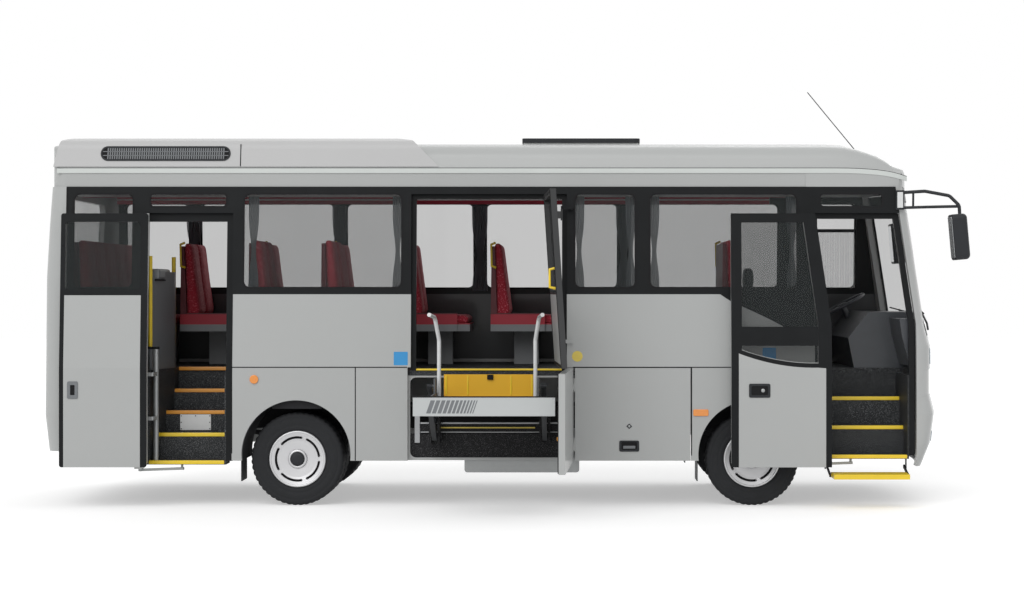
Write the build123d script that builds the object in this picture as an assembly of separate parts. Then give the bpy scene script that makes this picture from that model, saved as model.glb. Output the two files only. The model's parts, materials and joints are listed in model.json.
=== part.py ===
"""Passenger midibus with two outswing doors and a wheelchair lift.

Frame: origin on the ground, on the centre line, halfway between the axles.
+X points to the front, +Y to the vehicle's left, +Z up. Millimetres.
The doors and the lift stand open, as the bus is shown.
"""
from build123d import *
import math
import os

os.makedirs("parts", exist_ok=True)

# Whole vehicle
wheelbase = 3750
body_width = 2280
front_overhang = 1612
rear_overhang = 2080
wall = 50
lean_deg = 3.67
bay_clearance = 8
fit_gap = 0.3

# Heights above the ground
skirt_z = 377
floor_z = 1115
seam_z = 1144
belt_z = 1743
glass_low_z = 1790
glass_top_z = 2580
band_z = 2631
gutter_z = 2783
roof_z = 3035
rear_bottom_z = 455
gutter_ledge = 14
roof_knee_r = 150
floor_thick = 40

# Wheels
tyre_d = 767
tyre_w = 211
rim_d = 444
wheel_y = 935
twin_spacing = 245
kingpin_y = 880
kingpin_r = 16
spindle_r = 24
steer_arm = 130
tie_pin_r = 8
arch_r = 448
arch_z = 425
arch_wall = 10
front_tunnel_depth = 520
rear_tunnel_depth = 610

# Ends of the side walls
side_rear_x = -wheelbase / 2 - 1905
nose_x = wheelbase / 2 + 1344
windscreen_z = 1500
bumper_top_z = 900
nose_bottom_z = 330
nose_bow = 140
nose_corner_r = 120
rake = 0.1408
pillar_y = 975
glass_thick = 6
glass_recess = 4

# Steps
tread_thick = 30
ring_depth = 50
stair_plate = 12
stair_y = -1085
rear_steps = (587, 762, 936)
rear_step_depth = 200
rear_taper = 105
front_steps = (646, 877)
front_step_depth = 220

# Chassis
rail_in = 350
rail_out = 430
rail_low = 600
rail_high = 780
bearer_h = 75
tow_r = 16
tow_z = 690

# Mirrors
near_mirror_reach = 340
far_mirror_reach = 210
mirror_lean = 5
# Passenger doors
rear_door_x = -wheelbase / 2 - 1258
rear_door_w = 730
front_door_x = wheelbase / 2 + 510
door_top_z = 2413
leaf_thick = 45
leaf_low_z = 365
rear_sill_z = 371
front_sill_z = 418
rear_shift = 660
front_shift = 705
door_out = 150
post_y = -1035
post_r = 22
post_inset = 90
post_top_z = 1290
arm_heights = (725, 1087)
rod_offset = 215

# Wheelchair lift and its doorway
lift_door_x = -934
lift_door_w = 1282
lift_door_top_z = 2570
bay_x = -960
bay_w = 1370
upper_leaf_open_deg = 93
lower_leaf_open_deg = 87.3
lift_x = -283
lift_width = 800
lift_depth = 1000
platform_z = 910
arm_len = 700
arm_pivot_y = -1215
arm_pivot_z = 575
link_rise = 130

# Luggage flap beside the lift bay
flap_w = 958

# Fold-out step under the front door
step_tread_y = -1270
step_top_z = 285
step_pivot_y = -1000
step_pivot_z = 318

# Seats
seat_w = 400
seat_gap = 10
seat_wall_y = 995
cushion_low = floor_z + 330
cushion_high = floor_z + 440
back_high = floor_z + 1090
left_rows = (-3067, -2400, -1750, -1100, -327)
right_rows = (-2290, -1690, 1630)
driver_x = 2000
driver_y = 640
driver_back_z = 1790

# Derived places
front_axle_x = wheelbase / 2
rear_axle_x = -wheelbase / 2
front_x = front_axle_x + front_overhang
rear_x = rear_axle_x - rear_overhang
wheel_z = tyre_d / 2
hw = body_width / 2
slope = math.tan(math.radians(lean_deg))
flap_x = bay_x + bay_w
boot_hinge_x = rear_x - 8
boot_hinge_z = 1557
upper_hinge_x = lift_door_x + lift_door_w - 42
upper_hinge_y = -hw - 12
lower_hinge_x = bay_x + bay_w - 2
lower_hinge_y = -hw - 6
upper_hinge_heights = (seam_z + 152, lift_door_top_z - 176)
lower_hinge_heights = (skirt_z + 120, seam_z - 160)

# Setback of the nose and the tail from their foremost and rearmost points, by height
nose_setback = [
    (nose_bottom_z, 108), (513, 33), (761, 0), (bumper_top_z, 33), (1316, 33), (windscreen_z, 80),
    (band_z, 239),
]
tail_setback = [(rear_bottom_z, 34), (753, 0), (1884, 0), (2318, 18), (gutter_z, 46)]


# Small makers of solids

def block(x0, x1, y0, y1, z0, z1):
    """Box between two corners."""
    return Part() + Pos((x0 + x1) / 2, (y0 + y1) / 2, (z0 + z1) / 2) * Box(
        abs(x1 - x0), abs(y1 - y0), abs(z1 - z0))


def rod(start, end, radius):
    """Round bar from one point to another."""
    run = Vector(*end) - Vector(*start)
    plane = Plane(origin=start, z_dir=run.normalized())
    return Part() + Solid.make_cylinder(radius, run.length, plane)


def tube_path(points, radius, bend):
    """Round bar along straight runs joined by bends."""
    path = FilletPolyline(*points, radius=bend)
    start = Plane(origin=path @ 0, z_dir=path % 0)
    return Part() + sweep(start * Circle(radius), path=path)


def prism(points, run):
    """Flat outline through points, pushed along a vector."""
    face = Face(Wire.make_polygon([Vector(*p) for p in points], close=True))
    return Part() + Solid.extrude(face, Vector(*run))


def prism_x(points, x0, x1):
    """Outline of (y, z) points, from x0 to x1."""
    return prism([(x0, y, z) for y, z in points], (x1 - x0, 0, 0))


def prism_y(points, y0, y1):
    """Outline of (x, z) points, from y0 to y1."""
    return prism([(x, y0, z) for x, z in points], (0, y1 - y0, 0))


def prism_z(points, z0, z1):
    """Outline of (x, y) points, from z0 to z1."""
    return prism([(x, y, z0) for x, y in points], (0, 0, z1 - z0))


def window_y(x0, x1, z0, z1, radius, y0, y1):
    """Rounded rectangle in XZ, from y0 to y1."""
    plane = Plane(origin=((x0 + x1) / 2, y0, (z0 + z1) / 2), x_dir=(1, 0, 0), z_dir=(0, 1, 0))
    return Part() + extrude(plane * RectangleRounded(x1 - x0, z1 - z0, radius), y1 - y0)


def window_x(y0, y1, z0, z1, radius, x0, x1):
    """Rounded rectangle in YZ, from x0 to x1."""
    plane = Plane(origin=(x0, (y0 + y1) / 2, (z0 + z1) / 2), x_dir=(0, 1, 0), z_dir=(1, 0, 0))
    return Part() + extrude(plane * RectangleRounded(y1 - y0, z1 - z0, radius), x1 - x0)


def mirror_y(shape):
    """Copy on the other side of the centre plane."""
    return Part() + mirror(shape, about=Plane.XZ)


def gather(*shapes):
    """Solids of several shapes as one group that is not fused."""
    solids = []
    for shape in shapes:
        solids.extend(shape.solids())
    return Compound(children=solids)


nodes = {}


def keep(name, *shapes):
    """Remember the solids of one piece."""
    nodes[name] = gather(*shapes)


# The leaning side of the body

def side_y(z):
    """Half width of the body's skin at a height."""
    return hw - max(0, z - seam_z) * slope


def side_slab(side, x0, x1, z0, z1, outer=0, inner=wall):
    """Slab that follows the body's side; outer and inner are depths under the skin."""
    levels = [z0] + ([seam_z] if z0 < seam_z < z1 else []) + [z1]
    out = [(side * (side_y(z) - outer), z) for z in levels]
    back = [(side * (side_y(z) - inner), z) for z in reversed(levels)]
    return prism_x(out + back, x0, x1)


def side_cut(x0, x1, z0, z1, radius, side):
    """Rounded opening right through one side."""
    if side < 0:
        return window_y(x0, x1, z0, z1, radius, -hw - 20, -hw + 400)
    return window_y(x0, x1, z0, z1, radius, hw - 400, hw + 20)


def arch_cut(axle_x, radius, y0, y1):
    """Round wheel arch opening between y0 and y1."""
    return rod((axle_x, y0, arch_z), (axle_x, y1, arch_z), radius)


# The nose and the tail follow plan outlines that change with height

def setback(table, z):
    """Setback at a height, between the table's rows."""
    for (z0, s0), (z1, s1) in zip(table, table[1:]):
        if z <= z1:
            return s0 + (s1 - s0) * (z - z0) / (z1 - z0)
    return table[-1][1]


def nose_front(z):
    """Foremost X of the nose at a height."""
    return front_x - setback(nose_setback, z)


def nose_face(z, inset, back_x):
    """Plan outline of the nose at one height, inset by a wall."""
    half = side_y(z) - inset
    tip = nose_front(z) - inset
    corner_x = tip - nose_bow
    left = Line((corner_x, half), (back_x, half))
    back = Line((back_x, half), (back_x, -half))
    right = Line((back_x, -half), (corner_x, -half))
    bow = ThreePointArc((corner_x, -half), (tip, 0), (corner_x, half))
    face = make_face([left, back, right, bow])
    corners = [v for v in face.vertices() if v.X > back_x + 1]
    face = fillet(corners, max(nose_corner_r - inset, 10))
    return Pos(0, 0, z) * face


def tail_face(z, inset, front_face_x):
    """Plan outline of the tail at one height, inset by a wall."""
    half = side_y(z) - inset
    end = rear_x + setback(tail_setback, z) + inset
    width = 2 * half
    length = front_face_x - end
    face = Pos((front_face_x + end) / 2, 0) * Rectangle(length, width)
    corners = [v for v in face.vertices() if v.X < end + 1]
    face = fillet(corners, max(nose_corner_r - inset, 10))
    return Pos(0, 0, z) * face


def stack(maker, levels, inset, face_x):
    """Solid lofted through the plan outlines at the given heights."""
    faces = [maker(z, inset, face_x) for z in levels]
    solid = Part()
    for low, high in zip(faces, faces[1:]):
        solid += loft([low, high], ruled=True)
    return solid


def levels_of(table, z0, z1):
    """Heights of the table's rows between z0 and z1, with both ends."""
    return [z0] + [z for z, _ in table if z0 < z < z1] + [z1]


# Running gear

def make_tyre(y_centre, x, z):
    """One tyre, its axis along Y."""
    half = tyre_w / 2
    outer = tyre_d / 2
    bead = rim_d / 2
    tread = half - 22
    profile = [
        (bead, half - 22), (bead + 45, half), (outer - 50, half), (outer - 8, half - 8), (outer, tread),
        (outer, -tread), (outer - 8, -half + 8), (outer - 50, -half), (bead + 45, -half),
        (bead, -half + 22),
    ]
    face = make_face(Polyline([(r, w) for r, w in profile], close=True))
    ring_solid = revolve(face, Axis.Y)
    return Pos(x, y_centre, z) * (Part() + ring_solid)


def make_rim(y_centre, side, x, z, cover):
    """Steel wheel, with a slotted cover on its outer side."""
    half = tyre_w / 2
    bead = rim_d / 2 - fit_gap
    profile = [
        (bead, half - 24), (bead, -half + 24), (bead - 12, -half + 24), (bead - 12, 30),
        (70, 30), (70, 52), (bead - 12, 52), (bead - 12, half - 24),
    ]
    rim = Part() + revolve(make_face(Polyline(profile, close=True)), Axis.Y)
    if side < 0:
        rim = mirror_y(rim)
    shapes = [Pos(x, y_centre, z) * rim]
    if cover:
        dish = [
            (0, half - 2), (52, half - 4), (62, half - 16), (150, half - 10), (215, half + 2),
            (232, half - 6), (232, half - 14), (215, half - 8), (150, half - 20), (0, half - 26),
        ]
        dish = Part() + revolve(make_face(Polyline(dish, close=True)), Axis.Y)
        for k in range(5):
            arc = CenterArc((0, 0), 178, k * 72 + 8, 56)
            slot = extrude(Plane.XZ * SlotArc(arc, 20), 200, both=True)
            dish -= slot
        if side < 0:
            dish = mirror_y(dish)
        hub = rod((0, side * 30, 0), (0, side * (half - 20), 0), 66)
        shapes = [Pos(x, y_centre, z) * rim, Pos(x, y_centre, z) * dish]
        shapes.append(Pos(x, y_centre, z) * hub)
    return shapes


def make_wheels():
    """Four wheel bodies: single in front, twin behind."""
    for side, word in ((-1, "right"), (1, "left")):
        y = side * wheel_y
        keep(f"front_tyre_{word}", make_tyre(y, front_axle_x, wheel_z))
        shapes = make_rim(y, side, front_axle_x, wheel_z, True)
        rim, cover, hub = shapes
        bore_end = side * (kingpin_y + 86)
        bore = rod((front_axle_x, side * kingpin_y, wheel_z), (front_axle_x, bore_end, wheel_z), spindle_r)
        drum = rod((front_axle_x, side * (kingpin_y + 46), wheel_z),
                   (front_axle_x, side * (wheel_y + 31), wheel_z), 120)
        keep(f"front_rim_{word}", rim + hub + drum + cover - bore)

        inner = side * (wheel_y - twin_spacing)
        keep(f"rear_tyres_{word}", make_tyre(y, rear_axle_x, wheel_z),
             make_tyre(inner, rear_axle_x, wheel_z))
        rim, cover, hub = make_rim(y, side, rear_axle_x, wheel_z, True)
        inner_rim = make_rim(inner, side, rear_axle_x, wheel_z, False)[0]
        core = rod((rear_axle_x, side * (wheel_y - twin_spacing + 20), wheel_z),
                   (rear_axle_x, side * (wheel_y + 40), wheel_z), 100)
        bore = rod((rear_axle_x, side * (wheel_y - twin_spacing - 90), wheel_z),
                   (rear_axle_x, side * (wheel_y - 60), wheel_z), 42)
        keep(f"rear_rims_{word}", rim + hub + inner_rim + core + cover - bore)


def make_axles():
    """Front beam axle with its knuckles and tie rod, and the rear axle."""
    x = front_axle_x
    eye_r = 34
    eye_half = 45
    lug = 32
    drop = 100
    beam = block(x - 35, x + 35, -kingpin_y + 180, kingpin_y - 180, wheel_z - drop, wheel_z - drop + 80)
    for side in (-1, 1):
        y = side * kingpin_y
        beam += rod((x, y, wheel_z - eye_half), (x, y, wheel_z + eye_half), eye_r)
        beam += prism_x([(y, wheel_z - eye_half), (y, wheel_z + eye_half),
                         (y - side * 120, wheel_z + eye_half), (y - side * 180, wheel_z - drop + 80),
                         (y - side * 180, wheel_z - drop), (y - side * 120, wheel_z - eye_half)],
                        x - 30, x + 30)
        beam -= rod((x, y, wheel_z - 200), (x, y, wheel_z + 200), kingpin_r + 0.05)
    keep("front_axle", beam)

    arm_low = wheel_z - eye_half - lug
    tie_x = x - steer_arm
    tie_low, tie_high = arm_low - 36, arm_low - 4
    for side, word in ((-1, "right"), (1, "left")):
        y = side * kingpin_y
        piece = rod((x, y, arm_low), (x, y, wheel_z + eye_half + lug), kingpin_r)
        for z0, z1 in ((arm_low, wheel_z - eye_half - 1), (wheel_z + eye_half + 1, wheel_z + eye_half + lug)):
            piece += rod((x, y, z0), (x, y, z1), eye_r)
            piece += block(x - 30, x + 30, y, y + side * 44, z0, z1)
        piece += block(x - 30, x + 30, y + side * 36, y + side * 44, arm_low, wheel_z + eye_half + lug)
        piece += rod((x, y + side * 40, wheel_z), (x, y + side * 84, wheel_z), spindle_r - 0.05)
        piece += prism_z([(x - 8, y - 22), (x - 8, y + 22), (tie_x, y + 16), (tie_x, y - 16)],
                         arm_low, arm_low + 22)
        piece += rod((tie_x, y, arm_low), (tie_x, y, arm_low + 22), 22)
        pin_r = tie_pin_r - 0.05 if side < 0 else tie_pin_r - 0.5
        piece += rod((tie_x, y, tie_low), (tie_x, y, arm_low), pin_r)
        keep(f"knuckle_{word}", piece)
    tie_z = (tie_low + tie_high) / 2
    tie = rod((tie_x, -kingpin_y, tie_z), (tie_x, kingpin_y, tie_z), 13)
    for side in (-1, 1):
        tie += rod((tie_x, side * kingpin_y, tie_low), (tie_x, side * kingpin_y, tie_high), 19)
    for side in (-1, 1):
        tie -= rod((tie_x, side * kingpin_y, tie_low - 5), (tie_x, side * kingpin_y, tie_high + 5), tie_pin_r)
    keep("tie_rod", tie)

    xr = rear_axle_x
    stubs = rod((xr, -wheel_y + 62, wheel_z), (xr, wheel_y - 62, wheel_z), 41.95)
    banjo = Part() + (Pos(xr, 0, wheel_z) * Sphere(175))
    nose = rod((xr, 0, wheel_z), (xr + 320, 0, wheel_z + 20), 75)
    tube = rod((xr, -wheel_y + twin_spacing + 95, wheel_z), (xr, wheel_y - twin_spacing - 95, wheel_z), 55)
    inner = wheel_y - twin_spacing
    drums = gather(*[rod((xr, side * (inner - 100), wheel_z), (xr, side * (inner - 20), wheel_z), 160)
                     for side in (-1, 1)])
    keep("rear_axle", tube + stubs + banjo + nose + drums)


def make_chassis():
    """Ladder frame, springs, cross bearers and the engine block."""
    rear_end = rear_x + 180
    front_end = nose_x + 40
    frame = Part()
    for side in (-1, 1):
        frame += block(rear_end, front_end, side * rail_in, side * rail_out, rail_low, rail_high)
    for x in (rear_end + 40, rear_axle_x - 560, rear_axle_x + 560, -380, 520, front_axle_x - 480):
        frame += block(x - 40, x + 40, -rail_in, rail_in, rail_low + 30, rail_high - 30)
    frame += block(front_end - 80, front_end, -rail_in, rail_in, rail_low + 30, rail_high - 30)
    for side in (-1, 1):
        y = side * (rail_in + rail_out) / 2
        eye = rod((front_end, y, tow_z), (front_end + 60, y, tow_z), 38)
        hole = rod((front_end - 30, y, tow_z), (front_end + 70, y, tow_z), tow_r)
        frame = frame + eye - hole
    bearer_low = floor_z - floor_thick - bearer_h
    bearer_high = floor_z - floor_thick
    wide = [rear_axle_x - 1620, rear_door_x - 50, rear_axle_x - 440, rear_axle_x, rear_axle_x + 490,
            front_axle_x - 1300, front_axle_x - 480, front_axle_x, front_axle_x + 480]
    for x in wide:
        near_y = -hw + wall + (bay_clearance if flap_x < x < flap_x + flap_w else 0)
        beam = block(x - 30, x + 30, near_y, hw - wall, bearer_low, bearer_high)
        for side in (-1, 1):
            beam += block(x - 30, x + 30, side * rail_in, side * rail_out, rail_high, bearer_low)
        frame += beam
    keep("chassis_frame", frame)

    springs = []
    for axle_x, pad_z in ((front_axle_x, wheel_z - 20), (rear_axle_x, wheel_z + 55)):
        for side in (-1, 1):
            y0 = side * rail_in + side * 5
            y1 = side * rail_out - side * 5
            ends = rail_low - 30
            leaf = prism_y([
                (axle_x - 600, ends), (axle_x - 560, ends), (axle_x, pad_z + 30), (axle_x + 560, ends),
                (axle_x + 600, ends), (axle_x + 600, rail_low), (axle_x + 540, rail_low),
                (axle_x, pad_z + 75), (axle_x - 540, rail_low), (axle_x - 600, rail_low),
            ], y0, y1)
            seat = block(axle_x - 50, axle_x + 50, y0, y1, pad_z, pad_z + 60)
            springs.append(leaf + seat)
    keep("leaf_springs", *springs)

    engine_x = front_axle_x + 420
    engine = block(engine_x, engine_x + 820, -320, 320, 480, 985)
    mount_y = rail_in - fit_gap
    engine += block(engine_x + 300, engine_x + 380, -mount_y, mount_y, 640, 720)
    keep("engine_block", engine)
    tank = window_y(-497, 451, skirt_z - 104, skirt_z + 59, 25, -hw + wall + 45, -500)
    hanger = block(360, 420, -500, -rail_out, skirt_z, skirt_z + 50)
    brace = block(360, 420, -rail_out, -rail_in, skirt_z, rail_low)
    keep("fuel_tank", tank + hanger + brace)


# Body panels

def side_windows(side):
    """Window openings of one side: rear and front edge, low and high edge."""
    over_door_z = door_top_z + 45
    if side < 0:
        return [
            (side_rear_x + 57, rear_door_x - 86, glass_low_z, glass_top_z),
            (rear_door_x + 37, rear_door_x + rear_door_w - 46, over_door_z, glass_top_z),
            (rear_door_x + rear_door_w + 82, lift_door_x - 69, glass_low_z, glass_top_z),
            (lift_door_x + lift_door_w + 57, lift_door_x + lift_door_w + 572, glass_low_z, glass_top_z),
            (lift_door_x + lift_door_w + 676, front_door_x - 133, glass_low_z, glass_top_z),
            (front_door_x + 43, nose_x - 260, over_door_z, glass_top_z),
        ]
    posts = [-3083, -1740, -456, 870, front_axle_x + 475]
    edges = [side_rear_x + 7] + posts + [nose_x - 160]
    return [(x0 + 50, x1 - 50, glass_low_z, glass_top_z) for x0, x1 in zip(edges, edges[1:])]


def ahead_of_rake(z0, z1):
    """Everything in front of the slanted front edge of the side walls."""
    x0 = nose_x - (z0 - windscreen_z) * rake
    x1 = nose_x - (z1 - windscreen_z) * rake
    return prism_y([(x0, z0), (nose_x + 200, z0), (nose_x + 200, z1), (x1, z1)], -hw - 50, hw + 50)


def make_sides():
    """Skirts, waist panels and window frames of both sides, with their glass."""
    through = (-hw - 10, -hw + 300)
    doors = block(rear_door_x, rear_door_x + rear_door_w, *through, 0, door_top_z)
    doors += block(front_door_x, nose_x + 400, *through, 0, door_top_z)
    doors += block(lift_door_x, lift_door_x + lift_door_w, *through, seam_z, lift_door_top_z)
    bay = block(bay_x, bay_x + bay_w + flap_w, *through, 0, seam_z)
    arches = Part()
    for axle_x in (front_axle_x, rear_axle_x):
        arches += arch_cut(axle_x, arch_r, -hw - 20, hw + 20)

    skirts = []
    waists = []
    frames = []
    panes = []
    for side in (-1, 1):
        skirt = side_slab(side, side_rear_x, nose_x, skirt_z, seam_z) - arches
        waist = side_slab(side, side_rear_x, nose_x, seam_z, belt_z) - ahead_of_rake(windscreen_z, belt_z)
        frame = side_slab(side, side_rear_x, nose_x, belt_z, band_z) - ahead_of_rake(belt_z, band_z)
        if side < 0:
            skirt = skirt - doors - bay + bay_frame()
            waist = waist - doors
            frame = frame - doors
        for x0, x1, z0, z1 in side_windows(side):
            radius = 40 if z1 - z0 < 300 else 60
            hole = side_cut(x0, x1, z0, z1, radius, side)
            frame -= hole
            pane = side_slab(side, x0 - 5, x1 + 5, z0 - 5, z1 + 5, glass_recess, glass_recess + glass_thick)
            panes.append(pane & hole)
        if side < 0:
            low_z, high_z = upper_hinge_heights
            waist += upper_hinge_bracket(low_z)
            frame += upper_hinge_bracket(high_z)
        skirts.append(skirt)
        waists.append(waist)
        frames.append(frame)
    keep("skirts", *skirts)
    keep("waist_panels", *waists)
    keep("window_frames", *frames)
    return panes


def bay_frame():
    """Frame plate of the lift bay, fixed behind the skirt's edge."""
    front_y = -hw + wall + 6
    back_y = front_y + 28
    top = floor_z - floor_thick
    plate = block(bay_x - 50, bay_x + bay_w - 6, front_y, back_y, skirt_z, top)
    plate += block(bay_x - 50, bay_x - 5, -hw + wall, front_y, skirt_z, top)
    hole = window_y(bay_x + 18, bay_x + bay_w - 86, skirt_z + 22, top - 16, 50, -hw, -hw + 200)
    for z in lower_hinge_heights:
        z0, z1 = z + 40 + fit_gap, z + 70
        plate += rod((lower_hinge_x, lower_hinge_y, z0), (lower_hinge_x, lower_hinge_y, z1), 5)
        plate += block(lower_hinge_x - 3, lower_hinge_x + 2, lower_hinge_y, front_y + 1, z0, z1)
        plate += block(lower_hinge_x - 20, lower_hinge_x + 2, front_y, back_y, z0, z1)
    return plate - hole


def upper_hinge_bracket(z):
    """Fixed half of one hinge of the upper lift door, on the wall's outer face."""
    z0, z1 = z + 45 + fit_gap, z + 75
    pin = rod((upper_hinge_x, upper_hinge_y, z0), (upper_hinge_x, upper_hinge_y, z1), 7)
    arm = block(upper_hinge_x, upper_hinge_x + 90, upper_hinge_y - 3, upper_hinge_y + 5, z0, z1)
    foot = block(upper_hinge_x + 50, upper_hinge_x + 90, upper_hinge_y, -side_y(z) + 10, z0, z1)
    return pin + arm + foot


def nose_solid(z0, z1, inset, back_x):
    """Filled nose between two heights."""
    return stack(nose_face, levels_of(nose_setback, z0, z1), inset, back_x)


def make_nose():
    """Front bumper, front panel with its pillars, windscreen and lamps."""
    back_x = nose_x - 400
    behind = block(back_x - 100, nose_x, -hw - 10, hw + 10, 0, windscreen_z)
    bumper = nose_solid(nose_bottom_z, bumper_top_z, 0, back_x) - nose_solid(
        nose_bottom_z, bumper_top_z, wall, back_x - 10)
    bumper -= behind
    for side in (-1, 1):
        y = side * (rail_in + rail_out) / 2
        bumper -= rod((nose_x, y, tow_z), (front_x + 50, y, tow_z), 62)

    panel = nose_solid(bumper_top_z, windscreen_z, 0, back_x) - nose_solid(
        bumper_top_z, windscreen_z, wall, back_x - 10)
    panel -= behind
    lamps = []
    for side in (-1, 1):
        lamp_box = block(nose_x + 60, front_x + 50, side * 600, side * (hw + 50), bumper_top_z + 20, 1125)
        lamps.extend((panel & lamp_box).solids())
        panel -= lamp_box

    shell = nose_solid(windscreen_z, band_z, 0, back_x) - nose_solid(windscreen_z, band_z, wall, back_x - 10)
    shell = shell & ahead_of_rake(windscreen_z, band_z)
    middle = block(nose_x - 300, front_x + 50, -pillar_y, pillar_y, windscreen_z - 10, band_z + 10)
    keep("front_panel", panel + (shell - middle))
    glass = nose_solid(windscreen_z, band_z, glass_recess, back_x) - nose_solid(
        windscreen_z, band_z, glass_recess + 8, back_x - 10)
    return bumper, lamps, glass & middle


def tail_solid(z0, z1, inset, face_x):
    """Filled tail between two heights."""
    return stack(tail_face, levels_of(tail_setback, z0, z1), inset, face_x)


def make_tail():
    """Rear panel with its window, boot lid, bumper and lamps."""
    face_x = side_rear_x
    beyond = face_x + 10
    lid_y, lid_low, lid_high = 760, 760, 1560
    bumper_z = 740
    bumper = tail_solid(rear_bottom_z, bumper_z, 0, face_x) - tail_solid(
        rear_bottom_z, bumper_z, wall, beyond)
    panel = tail_solid(bumper_z, band_z, 0, face_x) - tail_solid(bumper_z, band_z, wall, beyond)
    lid_hole = window_x(-lid_y, lid_y, lid_low, lid_high, 50, rear_x - 50, face_x - 20)
    glass_hole = window_x(-880, 880, glass_low_z, glass_top_z - 30, 80, rear_x - 50, face_x - 20)
    lid_fit = window_x(-lid_y + 6, lid_y - 6, lid_low + 6, lid_high - 6, 46, rear_x - 50, face_x - 20)
    lid = panel & lid_fit
    pane = tail_solid(bumper_z, band_z, glass_recess, face_x) - tail_solid(
        bumper_z, band_z, glass_recess + glass_thick, beyond)
    pane = pane & glass_hole
    panel = panel - lid_hole - glass_hole
    for side in (-1, 1):
        near, middle, far = side * 440, side * 500, side * 560
        lid += rod((boot_hinge_x, near, boot_hinge_z), (boot_hinge_x, middle, boot_hinge_z), 7)
        lid += block(boot_hinge_x - 4, rear_x + 5, near, middle, lid_high - 40, boot_hinge_z)
        start = middle + side * fit_gap
        panel += rod((boot_hinge_x, start, boot_hinge_z), (boot_hinge_x, far, boot_hinge_z), 7)
        panel += block(boot_hinge_x - 4, rear_x + 5, start, far, boot_hinge_z, lid_high + 30)
    keep("boot_lid", lid)
    lamps = []
    for side in (-1, 1):
        lamp_box = block(rear_x - 50, face_x - 60, side * 880, side * (hw - nose_corner_r - 5), 860, 1480)
        lamps.extend((panel & lamp_box).solids())
        panel -= lamp_box
    keep("rear_panel", panel)
    return bumper, lamps, pane


def roof_outline(half, low, gutter, crown):
    """Closed outline of the roof's section, as a face with y and z as its plane axes."""
    base = half + side_y(low) - side_y(gutter_z)
    edge = half - gutter_ledge
    knee_y = edge - 45
    knee_z = gutter + 12 + (crown - gutter) * 0.66
    lines = [
        Line((-base, low), (base, low)), Line((base, low), (half, gutter)),
        Line((half, gutter), (edge, gutter + 12)), Line((edge, gutter + 12), (knee_y, knee_z)),
        ThreePointArc((knee_y, knee_z), (0, crown), (-knee_y, knee_z)),
        Line((-knee_y, knee_z), (-edge, gutter + 12)), Line((-edge, gutter + 12), (-half, gutter)),
        Line((-half, gutter), (-base, low)),
    ]
    face = make_face(lines)
    knees = [v for v in face.vertices() if abs(v.Y - knee_z) < 0.01]
    return fillet(knees, min(roof_knee_r, (knee_z - gutter) * 0.8))


def roof_section(x, half, low, gutter, crown):
    """The roof's section at station x."""
    plane = Plane(origin=(x, 0, 0), x_dir=(0, 1, 0), z_dir=(1, 0, 0))
    return plane * roof_outline(half, low, gutter, crown)


# Front dome of the roof: station from the nose's base, and how far the half width, the gutter and
# the crown fall there
dome_rows = [
    (-679, 0, 0, 0), (-560, 0, 1, 8), (-453, 0, 4, 40), (-357, 2, 11, 80), (-305, 4, 15, 106),
    (-235, 8, 24, 158), (-174, 14, 35, 222), (-104, 28, 52, 246), (-20, 52, 80, 283), (53, 78, 106, 335),
]


def roof_solid(inset):
    """Filled roof from the tail to the nose, inset by the wall."""
    half = side_y(gutter_z) - inset
    crown = roof_z - inset
    gutter = gutter_z - inset / 2
    low = band_z - (10 if inset else 0)
    tail = rear_x + tail_setback[-1][1] + inset
    rows = [row for row in dome_rows if not inset or row[0] < 0]
    stations = [roof_section(tail, half, low, gutter, crown)]
    stations += [roof_section(nose_x + x, half - h, low, gutter - g, crown - c) for x, h, g, c in rows]
    return Part() + loft(stations, ruled=True)


hatch = (-24, 961, 350)
aerial_foot = (nose_x - 305, 0, roof_z - 96)


def make_roof():
    """Roof skin with its hatch coaming, hatch, air-conditioning pod and aerial."""
    outer = roof_solid(0)
    inner = roof_solid(wall)
    back_x = nose_x - 900
    envelope = Part() + extrude(nose_face(band_z, 0, back_x), 500)
    envelope += Pos(0, 0, band_z - gutter_z) * extrude(tail_face(gutter_z, 0, back_x), 500)
    hollow = Pos(0, 0, -10) * (Part() + extrude(nose_face(band_z, wall, back_x), 520))
    hollow += Pos(0, 0, band_z - gutter_z - 10) * extrude(tail_face(gutter_z, wall, back_x), 520)
    filled = outer & envelope
    roof = filled - (inner & hollow)
    x0, x1, half = hatch
    rim_z = roof_z + 5
    roof += block(x0, x1, -half, half, roof_z - wall, rim_z)
    roof -= block(x0 + 30, x1 - 30, -half + 30, half - 30, roof_z - 200, roof_z + 100)
    foot_x, foot_y, foot_z = aerial_foot
    roof += rod((foot_x, foot_y, foot_z - 60), aerial_foot, 16)
    keep("roof", roof)
    lid = block(x0 - 12, x1 + 12, -half - 12, half + 12, rim_z + fit_gap, rim_z + 38)
    keep("roof_hatch", Part() + fillet(lid.edges().filter_by(Axis.Z), 40))
    lean = Vector(-470, 0, 571).normalized()
    base = Vector(*aerial_foot) + lean * 3.7
    tip = base + lean * 730
    keep("aerial", rod((base.X, base.Y, base.Z), (tip.X, tip.Y, tip.Z), 4))
    make_pod(filled)


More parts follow.
